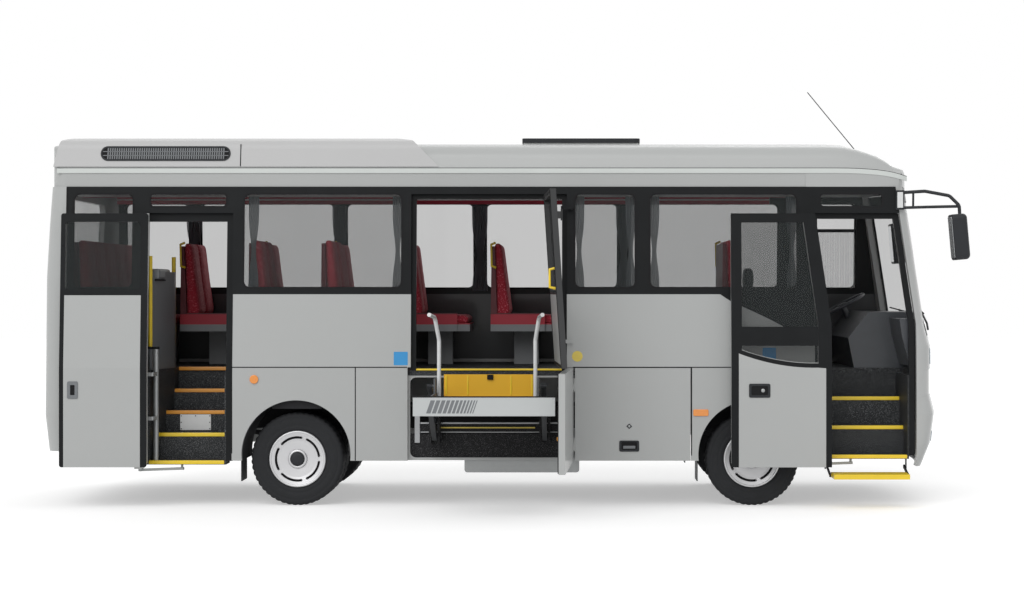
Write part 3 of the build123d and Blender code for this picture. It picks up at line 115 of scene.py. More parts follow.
def blend_colour(tree, factor, a, b):
    node = add(tree, "ShaderNodeMix", data_type="RGBA")
    feed(tree, node.inputs[0], factor)
    feed(tree, node.inputs[6], a)
    feed(tree, node.inputs[7], b)
    return node.outputs[2]


def in_box(low, high):
    """Mask that is 1 inside a box of object coordinates."""
    middle = [(a + b) / 2 for a, b in zip(low, high)]
    half = [(b - a) / 2 for a, b in zip(low, high)]

    def build(tree, place):
        offset = add(tree, "ShaderNodeVectorMath", {0: place, 1: middle}, operation="SUBTRACT")
        size = add(tree, "ShaderNodeVectorMath", {0: offset.outputs[0]}, operation="ABSOLUTE")
        past = add(tree, "ShaderNodeVectorMath", {0: size.outputs[0], 1: half}, operation="SUBTRACT")
        axes = add(tree, "ShaderNodeSeparateXYZ", {0: past.outputs[0]}).outputs
        worst = calc(tree, "MAXIMUM", calc(tree, "MAXIMUM", axes[0], axes[1]), axes[2])
        return calc(tree, "LESS_THAN", worst, 0.0)

    return build


def under_skin(depth):
    """Mask that is 1 deeper than a depth behind the body's leaning sides."""

    def build(tree, place):
        axes = add(tree, "ShaderNodeSeparateXYZ", {0: place}).outputs
        lean = calc(tree, "MULTIPLY", calc(tree, "MAXIMUM", calc(tree, "SUBTRACT", axes[2], SEAM), 0.0),
                    LEAN)
        reach = calc(tree, "ADD", calc(tree, "ABSOLUTE", axes[1]), lean)
        return calc(tree, "LESS_THAN", reach, HALF - depth)

    return build


def shade(colour, factor):
    return (colour[0] * factor, colour[1] * factor, colour[2] * factor, 1)


MATERIAL = {}


def surface(name, colour, rough, metal=0.0, coat=0.0, vary=0.05, grain=6.0, bump=0.02, fine=400.0,
            fleck=None, zones=(), alpha=1.0, sheen=0.0, weave=0.0, gloss=0.5):
    """Procedural material: colour that varies softly, uneven roughness, a fine bump, flecks and zones."""
    material = bpy.data.materials.new(name)
    material.use_nodes = True
    tree = material.node_tree
    shader = tree.nodes["Principled BSDF"]
    place = add(tree, "ShaderNodeTexCoord").outputs["Object"]
    soft = add(tree, "ShaderNodeTexNoise", {"Vector": place, "Scale": grain, "Detail": 4.0})
    tint = blend_colour(tree, soft.outputs[0], shade(colour, 1 - vary), shade(colour, 1 + vary))
    if weave:
        threads = add(tree, "ShaderNodeTexVoronoi", {"Vector": place, "Scale": weave})
        tint = blend_colour(tree, calc(tree, "MULTIPLY", threads.outputs["Distance"], 0.6), tint,
                            shade(colour, 0.45))
    if fleck:
        fleck_colour, fleck_scale, fleck_size = fleck
        dots = add(tree, "ShaderNodeTexNoise", {"Vector": place, "Scale": fleck_scale, "Detail": 1.0})
        mask = calc(tree, "GREATER_THAN", dots.outputs[0], fleck_size)
        tint = blend_colour(tree, mask, tint, (*fleck_colour, 1))
    for build, zone_colour in zones:
        tint = blend_colour(tree, build(tree, place), tint, (*zone_colour, 1))
    feed(tree, shader.inputs["Base Color"], tint)
    spread = add(tree, "ShaderNodeMapRange",
                 {0: soft.outputs[0], 3: max(rough - 0.06, 0.02), 4: rough + 0.06})
    feed(tree, shader.inputs["Roughness"], spread.outputs[0])
    grit = add(tree, "ShaderNodeTexNoise", {"Vector": place, "Scale": fine, "Detail": 2.0})
    relief = add(tree, "ShaderNodeBump", {"Height": grit.outputs[0], "Strength": bump, "Distance": 0.002})
    feed(tree, shader.inputs["Normal"], relief.outputs[0])
    shader.inputs["Metallic"].default_value = metal
    shader.inputs["Specular IOR Level"].default_value = gloss
    shader.inputs["Coat Weight"].default_value = coat
    shader.inputs["Coat Roughness"].default_value = 0.12
    shader.inputs["Alpha"].default_value = alpha
    shader.inputs["Sheen Weight"].default_value = sheen
    MATERIAL[name] = material


# Colours as they measure under even light
GREY = (0.425, 0.435, 0.43)
ROOF_GREY = (0.50, 0.50, 0.50)
BLACK = (0.012, 0.013, 0.014)
TRIM_DARK = (0.03, 0.032, 0.035)
YELLOW = (0.88, 0.62, 0.02)
AMBER = (0.83, 0.46, 0.02)
ORANGE = (0.80, 0.33, 0.03)
MAROON = (0.40, 0.02, 0.045)
BURGUNDY = (0.10, 0.006, 0.012)
SEAT_SIDE = (0.42, 0.02, 0.04)
CUSHION_SEAM, CUSHION_TOP = 1.475, 1.565
DOOR_END = -2.322

PLATFORM_NEAR, PLATFORM_FAR = -1.3401, -2.3401

surface("body_grey", GREY, 0.42, coat=0.35, vary=0.02, grain=1.5, bump=0.01)
surface("body_lined", GREY, 0.42, coat=0.3, vary=0.02, grain=1.5, bump=0.01,
        zones=[(under_skin(0.044), TRIM_DARK)])
surface("roof_grey", GREY, 0.45, coat=0.25, vary=0.02, grain=1.5, bump=0.01)
surface("pod_grey", ROOF_GREY, 0.5, coat=0.1, vary=0.03, grain=3.0)
surface("black_paint", BLACK, 0.3, vary=0.2, bump=0.01, gloss=0.12)
surface("window_glass", (0.03, 0.036, 0.036), 0.05, vary=0.1, bump=0.0, alpha=0.27, gloss=0.3)
surface("tyre_rubber", (0.022, 0.023, 0.025), 0.75, vary=0.25, grain=9, bump=0.25, fine=900, gloss=0.25)
surface("wheel_silver", (0.60, 0.60, 0.61), 0.33, metal=0.55, grain=5, bump=0.03)
surface("chassis_black", (0.018, 0.018, 0.02), 0.6, vary=0.3, grain=12, bump=0.15, gloss=0.2)
surface("steel_grey", (0.34, 0.35, 0.35), 0.4, metal=0.5, vary=0.08, grain=20, bump=0.05)
surface("lift_grey", (0.40, 0.41, 0.42), 0.45, metal=0.2, vary=0.06, grain=15, bump=0.06)
surface("dark_plastic", (0.022, 0.024, 0.027), 0.5, vary=0.15, grain=8, bump=0.12, fine=700, gloss=0.25)
surface("dash_plastic", (0.045, 0.05, 0.058), 0.42, coat=0.15, vary=0.15, grain=8, bump=0.12, fine=700)
surface("seat_shell", (0.24, 0.25, 0.26), 0.5, vary=0.08, grain=10, bump=0.1, fine=700,
        zones=[(in_box((-3.8, -1.2, CUSHION_SEAM), (2.2, 1.2, CUSHION_TOP)), SEAT_SIDE),
               (in_box((-3.8, -1.2, CUSHION_TOP), (2.2, 1.2, 2.3)), BURGUNDY)])
surface("grey_plastic", (0.17, 0.18, 0.19), 0.45, vary=0.08, grain=10, bump=0.1, fine=700)
surface("speckled_floor", (0.022, 0.024, 0.026), 0.55, vary=0.2, grain=30, bump=0.2, fine=500,
        fleck=((0.16, 0.165, 0.17), 220.0, 0.62), gloss=0.2)
surface("curtain_grey", (0.20, 0.22, 0.24), 0.9, vary=0.12, grain=40, bump=0.2, fine=1500, sheen=0.3,
        weave=900, alpha=0.88)
surface("lamp_lens", (0.52, 0.60, 0.66), 0.12, coat=0.8, vary=0.15, grain=25, bump=0.05,
        zones=[(in_box((-4.2, -1.3, 0.8), (-3.0, 1.3, 1.6)), (0.45, 0.012, 0.015)),
               (in_box((-4.2, -1.3, 1.08), (-3.0, 1.3, 1.22)), (0.85, 0.30, 0.02)),
               (in_box((-4.2, -1.3, 0.95), (-3.0, 1.3, 1.05)), (0.7, 0.7, 0.7)),
               (in_box((3.0, -1.3, 0.7), (3.6, -0.95, 1.15)), GREY),
               (in_box((3.0, 0.95, 0.7), (3.6, 1.3, 1.15)), GREY)])
surface("yellow_paint", YELLOW, 0.4, coat=0.3, vary=0.06, grain=14, bump=0.05)
surface("orange_paint", ORANGE, 0.4, coat=0.3, vary=0.06, grain=14, bump=0.05)
surface("white_rail", (0.72, 0.73, 0.73), 0.3, coat=0.5, vary=0.04, grain=20)
# A lighter copy of the body grey on a real gutter strip: painted highlight along the top of the cant rail
surface("gutter_painted_highlight", (0.62, 0.65, 0.63), 0.45, vary=0.03, grain=9)
surface("light_trim", (0.38, 0.38, 0.39), 0.5, vary=0.06, grain=9, bump=0.06)
surface("rubber", (0.012, 0.012, 0.013), 0.7, vary=0.2, grain=30, bump=0.1, fine=900, gloss=0.15)
surface("maroon", MAROON, 0.6, vary=0.1, grain=20, bump=0.05)
surface("seat_red", (0.48, 0.022, 0.045), 0.85, vary=0.15, grain=60, bump=0.35, fine=1600, sheen=0.12,
        weave=700, fleck=((0.70, 0.16, 0.20), 90.0, 0.62))
surface("dark_fabric", (0.03, 0.032, 0.036), 0.85, vary=0.2, grain=40, bump=0.3, fine=1400, sheen=0.3,
        weave=700)
surface("lift_dark", (0.012, 0.012, 0.013), 0.5, vary=0.2, grain=30, bump=0.15, fine=500,
        fleck=((0.15, 0.15, 0.155), 240.0, 0.66), gloss=0.15)
surface("blind", (0.78, 0.80, 0.80), 0.8, vary=0.04, grain=30, bump=0.1, fine=1200, alpha=0.25)
surface("sign_blue", (0.02, 0.28, 0.62), 0.35, coat=0.3, grain=30)
surface("marker_orange", (0.85, 0.28, 0.03), 0.2, coat=0.9, vary=0.08, grain=60)
surface("pale_sign", (0.80, 0.62, 0.12), 0.5, vary=0.1, grain=60)
surface("mirror_glass", (0.8, 0.82, 0.84), 0.05, metal=1.0, vary=0.01, bump=0.0)
surface("platform", (0.09, 0.095, 0.10), 0.55, metal=0.1, vary=0.15, grain=30, bump=0.3, fine=300,
        zones=[(in_box((-0.90, PLATFORM_FAR - 0.05, 0.7), (0.40, PLATFORM_FAR + 0.002, 1.1)),
                (0.52, 0.54, 0.54)),
               (in_box((-0.70, PLATFORM_NEAR - 0.03, 0.91), (0.15, PLATFORM_NEAR + 0.01, 1.2)), AMBER)])
surface("lift_door", GREY, 0.42, coat=0.2, vary=0.02, grain=1.5, bump=0.01,
        zones=[(in_box((0.0, -2.6, BELT), (0.7, -1.0, 2.7)), BLACK),
               (in_box((0.0, -2.6, 1.0), (0.7, DOOR_END, 2.7)), BLACK)])

NODE_MATERIAL = {
    "boot_lid": "body_grey", "bumpers": "body_grey", "curtains": "curtain_grey",
    "dashboard": "dash_plastic", "door_frames": "black_paint", "fold_step": "yellow_paint",
    "glazing": "window_glass", "lift_handrails": "white_rail", "lift_platform": "platform",
    "luggage_racks": "light_trim", "roof": "roof_grey", "roof_pod": "pod_grey",
    "roof_hatch": "dark_plastic", "waist_panels": "body_lined", "seat_shells": "seat_shell",
    "upper_lift_door_leaf": "lift_door", "lift_arms": "dark_plastic", "lift_links": "dark_plastic",
    "skirts": "body_grey", "mirrors": "dark_plastic", "lift_cassette": "lift_dark",
}


def dress_nodes():
    """Each CAD node gets its procedural material."""
    slots = {part["node"]: part["material_slot"] for part in frame["record"]["subparts"]}
    for name, obj in NODES.items():
        chosen = NODE_MATERIAL.get(name, slots[name])
        obj.data.materials.clear()
        obj.data.materials.append(MATERIAL[chosen])


# Mesh helpers

# Record slot of the materials that have no slot of their own name
SLOT_OF = {
    "blind": "light_trim", "gutter_painted_highlight": "light_trim", "lift_dark": "chassis_black", "maroon": "seat_red",
    "marker_orange": "lamp_lens", "mirror_glass": "window_glass", "orange_paint": "yellow_paint",
    "pale_sign": "light_trim", "rubber": "dark_plastic", "sign_blue": "light_trim",
}


def settle(obj, material, body, slot=None):
    """Material and body of a finished piece; its record slot is worked out but not kept."""
    obj.data.materials.append(MATERIAL[material])
    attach(obj, body)
    slot or SLOT_OF.get(material, material)
    return obj


def from_bmesh(name, bm, material, body, slot=None, bevel=0.0, smooth=False):
    bmesh.ops.recalc_face_normals(bm, faces=bm.faces[:])
    mesh = bpy.data.meshes.new(name)
    bm.to_mesh(mesh)
    bm.free()
    obj = bpy.data.objects.new(name, mesh)
    bpy.context.collection.objects.link(obj)
    if smooth:
        for face in mesh.polygons:
            face.use_smooth = True
    if bevel:
        rounding = obj.modifiers.new("rounding", "BEVEL")
        rounding.width = bevel
        rounding.segments = 2
        rounding.limit_method = "ANGLE"
    return settle(obj, material, body, slot)


def rounded(x0, x1, z0, z1, radius, steps=6):
    """Points of a rounded rectangle."""
    points = []
    for cx, cz, start in ((x1 - radius, z1 - radius, 0), (x0 + radius, z1 - radius, 90),
                          (x0 + radius, z0 + radius, 180), (x1 - radius, z0 + radius, 270)):
        for k in range(steps + 1):
            angle = math.radians(start + 90 * k / steps)
            points.append((cx + radius * math.cos(angle), cz + radius * math.sin(angle)))
    return points


def disc(x, z, radius, steps=28):
    return [(x + radius * math.cos(2 * math.pi * k / steps),
             z + radius * math.sin(2 * math.pi * k / steps)) for k in range(steps)]


def sheet(name, outlines, material, body=ROOT, side=-1, lift=0.0, thick=0.003, face=skin, slot=None,
          bevel=0.0):
    """Thin plates that follow the body's side; an outline is a list of points or a pair (outer, inner)."""
    bm = bmesh.new()
    for outline in outlines:
        if isinstance(outline, tuple):
            outer, inner = ([bm.verts.new((x, 0, z)) for x, z in loop] for loop in outline)
            for k in range(len(outer)):
                following = (k + 1) % len(outer)
                bm.faces.new((outer[k], outer[following], inner[following], inner[k]))
        else:
            bm.faces.new([bm.verts.new((x, 0, z)) for x, z in outline])
    geometry = bm.verts[:] + bm.edges[:] + bm.faces[:]
    bmesh.ops.bisect_plane(bm, geom=geometry, plane_co=(0, 0, SEAM), plane_no=(0, 0, 1))
    grown = bmesh.ops.extrude_face_region(bm, geom=bm.faces[:])["geom"]
    tops = {v for v in grown if isinstance(v, bmesh.types.BMVert)}
    for v in bm.verts:
        v.co.y = side * (face(v.co.z) + lift + (thick if v in tops else 0))
    return from_bmesh(name, bm, material, body, slot, bevel)


def boxes(name, spans, material, body=ROOT, bevel=0.003, slot=None):
    """Bevelled blocks in one mesh; a span is (x0, x1, y0, y1, z0, z1)."""
    bm = bmesh.new()
    for x0, x1, y0, y1, z0, z1 in spans:
        place = Matrix.Translation(((x0 + x1) / 2, (y0 + y1) / 2, (z0 + z1) / 2))
        scale = Matrix.Diagonal((abs(x1 - x0), abs(y1 - y0), abs(z1 - z0), 1))
        bmesh.ops.create_cube(bm, size=1, matrix=place @ scale)
    return from_bmesh(name, bm, material, body, slot, bevel)


def tube(name, paths, radius, material, body=ROOT, slot=None, curved=False):
    """Round bars along runs of points."""
    curve = bpy.data.curves.new(name, "CURVE")
    curve.dimensions = "3D"
    curve.bevel_depth = radius
    curve.bevel_resolution = 4
    curve.use_fill_caps = True
    for points in paths:
        spline = curve.splines.new("NURBS" if curved else "POLY")
        spline.points.add(len(points) - 1)
        for place, point in zip(spline.points, points):
            place.co = (*point, 1)
        if curved:
            spline.order_u = 3
            spline.use_endpoint_u = True
    obj = bpy.data.objects.new(name, curve)
    bpy.context.collection.objects.link(obj)
    return settle(obj, material, body, slot)


def lathe(name, profile, centre, side, material, body, steps=64, slot=None, shape=None, closed=True):
    """Turned piece about the Y axis; profile rows are (radius, distance outwards from the centre)."""
    bm = bmesh.new()
    rings = []
    for k in range(steps):
        angle = 2 * math.pi * k / steps
        ring = []
        for row, (radius, reach) in enumerate(profile):
            if shape:
                radius = shape(radius, row, k)
            ring.append(bm.verts.new((centre[0] + radius * math.cos(angle), centre[1] + side * reach,
                                      centre[2] + radius * math.sin(angle))))
        rings.append(ring)
    count = len(profile)
    for k in range(steps):
        here, after = rings[k], rings[(k + 1) % steps]
        for row in range(count if closed else count - 1):
            below = (row + 1) % count
            bm.faces.new((here[row], here[below], after[below], after[row]))
    bmesh.ops.remove_doubles(bm, verts=bm.verts[:], dist=0.00005)
    return from_bmesh(name, bm, material, body, slot, smooth=True)


# Stage

def backdrop_rays(tree):
    """Mask that is 1 for what the camera, metal and glass show of the backdrop."""
    path = add(tree, "ShaderNodeLightPath").outputs
    return calc(tree, "MAXIMUM", calc(tree, "MAXIMUM", path["Is Camera Ray"], path["Is Glossy Ray"]),
                path["Is Transmission Ray"])


def make_stage():
    world = bpy.data.worlds.new("studio")
    bpy.context.scene.world = world
    world.use_nodes = True
    tree = world.node_tree
    tree.nodes.clear()
    seen = backdrop_rays(tree)
    glow = add(tree, "ShaderNodeBackground", {0: (1, 1, 1, 1), 1: 0.62})
    white = add(tree, "ShaderNodeBackground", {0: (1, 1, 1, 1), 1: 1.0})
    mixed = add(tree, "ShaderNodeMixShader", {0: seen, 1: glow.outputs[0], 2: white.outputs[0]})
    output = add(tree, "ShaderNodeOutputWorld")
    tree.links.new(mixed.outputs[0], output.inputs[0])

    floor_mesh = bpy.data.meshes.new("studio_floor")
    reach = 60
    floor_mesh.from_pydata([(-reach, -reach, 0), (reach, -reach, 0), (reach, reach, 0),
                            (-reach, reach, 0)], [], [(0, 1, 2, 3)])
    floor = bpy.data.objects.new("studio_floor", floor_mesh)
    bpy.context.collection.objects.link(floor)
    material = bpy.data.materials.new("studio_floor")
    material.use_nodes = True
    tree = material.node_tree
    tree.nodes.clear()
    seen = backdrop_rays(tree)
    plain = add(tree, "ShaderNodeBsdfDiffuse", {0: (0.75, 0.75, 0.75, 1)})
    lift = add(tree, "ShaderNodeEmission", {0: (1, 1, 1, 1), 1: 0.42})
    lit = add(tree, "ShaderNodeAddShader", {0: plain.outputs[0], 1: lift.outputs[0]})
    mixed = add(tree, "ShaderNodeMixShader", {0: seen, 1: plain.outputs[0], 2: lit.outputs[0]})
    output = add(tree, "ShaderNodeOutputMaterial")
    tree.links.new(mixed.outputs[0], output.inputs[0])
    floor_mesh.materials.append(material)

    for name, turn, strength in (("key", (52, 0, -22), 1.25), ("fill", (60, 0, 150), 0.7)):
        data = bpy.data.lights.new(name, "SUN")
        data.energy = strength
        data.angle = math.radians(50)
        light = bpy.data.objects.new(name, data)
        light.rotation_euler = [math.radians(a) for a in turn]
        bpy.context.collection.objects.link(light)


# Wheels

def make_tyre(name, x, y, side, body, node):
    """Tyre with ribs, shoulder lugs and sidewall rings."""
    outer, bead, half = 0.3835, 0.222, 0.1055
    groove = 0.009
    right = [(bead, half - 0.022), (bead + 0.006, half - 0.012), (bead + 0.03, half - 0.002),
             (bead + 0.045, half), (bead + 0.05, half - 0.0015), (bead + 0.06, half - 0.0015),
             (bead + 0.064, half), (outer - 0.055, half), (outer - 0.05, half - 0.002),
             (outer - 0.042, half - 0.002), (outer - 0.038, half - 0.001),
             (outer - 0.018, half - 0.004), (outer - 0.006, half - 0.012), (outer, half - 0.022)]
    ribs = []
    for middle in (0.052, 0.018, -0.018, -0.052):
        ribs += [(outer, middle + 0.005), (outer - groove, middle + 0.004),
                 (outer - groove, middle - 0.004), (outer, middle - 0.005)]
    profile = right + ribs + [(r, -w) for r, w in reversed(right)]
    lug_rows = {len(right) - 1, len(right) - 2, len(right) + len(ribs), len(right) + len(ribs) + 1}

    def lugs(radius, row, k):
        if k % 3 == 0 and row in lug_rows:
            return radius - 0.007
        if k % 3 == 0 and len(right) <= row < len(right) + len(ribs) and radius > outer - 0.001:
            return radius - 0.003
        return radius

    tyre = lathe(name, profile, (x, y, WHEEL_Z), side, "tyre_rubber", body, steps=144, shape=lugs)
    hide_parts(node)


def make_wheels():
    places = [("front", FRONT_AXLE, -1, "right"), ("front", FRONT_AXLE, 1, "left"),
              ("rear", REAR_AXLE, -1, "right"), ("rear", REAR_AXLE, 1, "left")]
    for end, x, side, word in places:
        single = end == "front"
        body = f"wheel_front_{word}" if single else f"wheels_rear_{word}"
        node = f"front_tyre_{word}" if single else f"rear_tyres_{word}"
        make_tyre(f"tyre_{end}_{word}", x, side * WHEEL_Y, side, body, node)
        if not single:
            make_tyre(f"tyre_inner_{word}", x, side * (WHEEL_Y - 0.245), side, body, node)
        centre = (x, side * WHEEL_Y, WHEEL_Z)
        cap = [(0.0, 0.1125), (0.02, 0.1125), (0.048, 0.1105), (0.055, 0.107), (0.057, 0.098), (0.0, 0.098)]
        lathe(f"hub_cap_{end}_{word}", cap, centre, side, "dark_plastic", body, closed=False)
        collar = [(0.058, 0.098), (0.060, 0.106), (0.066, 0.1075), (0.074, 0.104), (0.080, 0.096),
                  (0.070, 0.090)]
        lathe(f"hub_collar_{end}_{word}", collar, centre, side, "wheel_silver", body)
        lip = [(0.214, 0.106), (0.219, 0.1105), (0.226, 0.111), (0.232, 0.108), (0.2335, 0.1),
               (0.225, 0.096)]
        lathe(f"rim_lip_{end}_{word}", lip, centre, side, "wheel_silver", body, steps=96)
        make_slots(f"slot_shade_{end}_{word}", centre, side, body)


def make_slots(name, centre, side, body):
    """Dark arcs set just behind the five arc slots of a wheel cover: painted shade for the hollows inside the
    slots.
    """
    mean, half_width, reach = 0.178, 0.0105, 0.0965
    bm = bmesh.new()
    steps = 14
    for k in range(5):
        start, span = math.radians(-(k * 72 + 8)), math.radians(-56)
        rings = []
        for step in range(steps + 1):
            angle = start + span * step / steps
            for radius in (mean - half_width, mean + half_width):
                point = (centre[0] + radius * math.cos(angle), centre[1] + side * (reach - 0.012),
                         centre[2] + radius * math.sin(angle))
                rings.append(bm.verts.new(point))
        for step in range(steps):
            a = step * 2
            bm.faces.new((rings[a], rings[a + 1], rings[a + 3], rings[a + 2]))
    # The rubber colour here is painted shade inside the slots, not a part of its own
    from_bmesh(name, bm, "rubber", body)


# Outside trim of the sides

NEAR_WINDOWS = [(-3.723, -3.219), (-2.321, -1.003), (0.405, 0.920), (1.024, 2.252)]
OVER_REAR, OVER_FRONT = (-3.096, -2.449), (2.428, 2.959)
OVER_LOW = 2.458
FAR_EDGES = (-3.773, -3.083, -1.740, -0.456, 0.870, 2.350, 3.059)


def make_window_trim():
    """Rubber seals around the windows of both sides."""
    near = [(x0, x1, GLASS_LOW, GLASS_TOP, 0.06) for x0, x1 in NEAR_WINDOWS]
    near += [(*OVER_REAR, OVER_LOW, GLASS_TOP, 0.04), (*OVER_FRONT, OVER_LOW, GLASS_TOP, 0.04)]
    far = [(a + 0.05, b - 0.05, GLASS_LOW, GLASS_TOP, 0.06) for a, b in zip(FAR_EDGES, FAR_EDGES[1:])]
    for word, side, windows in (("near", -1, near), ("far", 1, far)):
        rings = []
        for x0, x1, z0, z1, radius in windows:
            rings.append((rounded(x0 - 0.004, x1 + 0.004, z0 - 0.004, z1 + 0.004, radius),
                          rounded(x0 + 0.014, x1 - 0.014, z0 + 0.014, z1 - 0.014, radius - 0.014)))
        sheet(f"window_seals_{word}", rings, "rubber", side=side, lift=-0.004, thick=0.005)


def strip(x0, x1, z0, z1):
    return [(x0, z0), (x1, z0), (x1, z1), (x0, z1)]


def make_seams():
    """Dark joints between the body's panels."""
    line = 0.004
    near = [strip(REAR_END, REAR_DOOR[0], SEAM - line, SEAM + line),
            strip(REAR_DOOR[1], LIFT_DOOR[0] - 0.03, SEAM - line, SEAM + line),
            strip(LIFT_DOOR[1] + 0.05, FRONT_DOOR[0], SEAM - line, SEAM + line)]
    for x in (-1.388, 1.372):
        near.append(strip(x - line, x + line, 0.42 if x > 0 else SKIRT + 0.002, SEAM - line))
    near.append(strip(REAR_DOOR[1] - 0.001, REAR_DOOR[1] + 0.005, SKIRT + 0.06, BELT))
    near.append(strip(REAR_END, REAR_END + 0.014, 0.48, 2.62))
    sheet("panel_seams_near", near, "rubber", thick=0.0015)
    far = [strip(REAR_END, NOSE, SEAM - line, SEAM + line), strip(REAR_END, REAR_END + 0.014, 0.48, 2.62)]
    for x in (-2.42, -1.33, -0.1, 1.28, 2.4):
        far.append(strip(x - line, x + line, SKIRT + 0.06, SEAM - line))
    sheet("panel_seams_far", far, "rubber", side=1, thick=0.0015)


def make_markers():
    """Side markers and the blank places of the signs."""
    for side, word in ((-1, "near"), (1, "far")):
        sheet(f"round_marker_{word}", [disc(-2.219, 1.045, 0.036)], "marker_orange", side=side,
              thick=0.012, bevel=0.004)
        sheet(f"side_marker_{word}", [rounded(1.385, 1.511, 0.744, 0.799, 0.012)], "marker_orange",
              side=side, thick=0.010, bevel=0.003)
    sheet("blank_sign_square", [rounded(-1.073, -0.958, 1.161, 1.271, 0.006)], "sign_blue", thick=0.0012)
    sheet("blank_sign_door", [rounded(1.955, 2.065, 1.205, 1.305, 0.006)], "sign_blue", thick=0.0012)
    sheet("blank_sign_round", [disc(0.434, 1.234, 0.044)], "pale_sign", thick=0.0012)
    wave = [(1.6055, BELT + 0.003), (1.655, 1.712), (1.704, 1.681), (1.786, 1.644), (1.90, 1.592),
            (2.02, 1.535), (2.130, 1.476), (2.26, 1.43), (2.384, 1.405), (2.384, BELT + 0.003)]
    sheet("black_wave", [wave], "black_paint", thick=0.0012)
    far_wave = [(x, z) for x, z in wave[:-2]] + [(2.7, 1.38), (3.18, 1.37), (3.18, BELT + 0.003)]
    sheet("black_wave_far", [far_wave], "black_paint", side=1, thick=0.0012)


def make_arch_liners():
    """Dark plates behind the skirts that close the view through the top of the rear wheel arches."""
    spans = [(-2.08, -1.67, min(side * 1.075, side * 1.081), max(side * 1.075, side * 1.081), 0.80,
              0.93) for side in (-1, 1)]
    boxes("arch_liners", spans, "chassis_black", bevel=0.001)


def make_flap_trim():
    """Lock, handle box, handle well and lever of the luggage flap."""
    body = "side_flap"
    sheet("flap_handle_box",
          [(rounded(0.778, 0.942, 0.452, 0.543, 0.014), rounded(0.796, 0.924, 0.468, 0.53, 0.01))],
          "dark_plastic", body=body, thick=0.006, bevel=0.002)
    sheet("flap_handle_well", [rounded(0.794, 0.926, 0.466, 0.532, 0.01)], "rubber", body=body, thick=0.001)
    boxes("flap_handle_lever", [(0.81, 0.91, -1.147, -1.141, 0.476, 0.500)], "grey_plastic", body=body)
    diamond = [(0.860, 0.638), (0.884, 0.660), (0.860, 0.682), (0.836, 0.660)]
    sheet("flap_lock", [diamond], "dark_plastic", body=body, thick=0.004, bevel=0.001)
    lathe("flap_lock_barrel", [(0.0, 0.006), (0.009, 0.006), (0.011, 0.003), (0.011, 0.0)],
          (0.86, -1.14, 0.66), -1, "steel_grey", body, steps=24, closed=False)


# Passenger doors

def door_face(z):
    return skin(z) + DOOR_OUT


def make_rear_door():
    leaf = partial(sheet, body="rear_door", face=door_face)
    x0, x1 = REAR_DOOR[0] - REAR_SHIFT + 0.008, REAR_DOOR[1] - REAR_SHIFT - 0.008
    low, top = 0.335, 2.405
    glass = (x0 + 0.040, x1 - 0.060, 1.780, 2.335)
    rim = (rounded(x0 + 0.0005, x1 - 0.0005, low, top, 0.02), rounded(*glass, 0.03))
    panel = strip(x0 + 0.036, x1 - 0.054, low, 1.735)
    leaf("rear_door_frame", [rim], "black_paint", thick=0.002, bevel=0.0008)
    leaf("rear_door_panel", [panel], "body_grey", lift=0.0021, bevel=0.001)
    hx0, hx1, hz0, hz1 = x0 + 0.068, x0 + 0.156, 0.893, 1.035
    leaf("rear_door_handle", [(rounded(hx0, hx1, hz0, hz1, 0.014),
                               rounded(hx0 + 0.026, hx1 - 0.026, hz0 + 0.03, hz1 - 0.03, 0.006))],
         "grey_plastic", lift=0.005, thick=0.006, bevel=0.002)
    leaf("rear_door_handle_well", [rounded(hx0 + 0.02, hx1 - 0.02, hz0 + 0.025, hz1 - 0.025, 0.006)],
         "rubber", lift=0.005, thick=0.001)
    leaf("rear_door_inner_seal", [(rounded(x0 + 0.004, x1 - 0.004, low + 0.01, top - 0.01, 0.02),
                                   rounded(x0 + 0.03, x1 - 0.03, low + 0.05, top - 0.04, 0.02))],
         "rubber", lift=-0.0475)


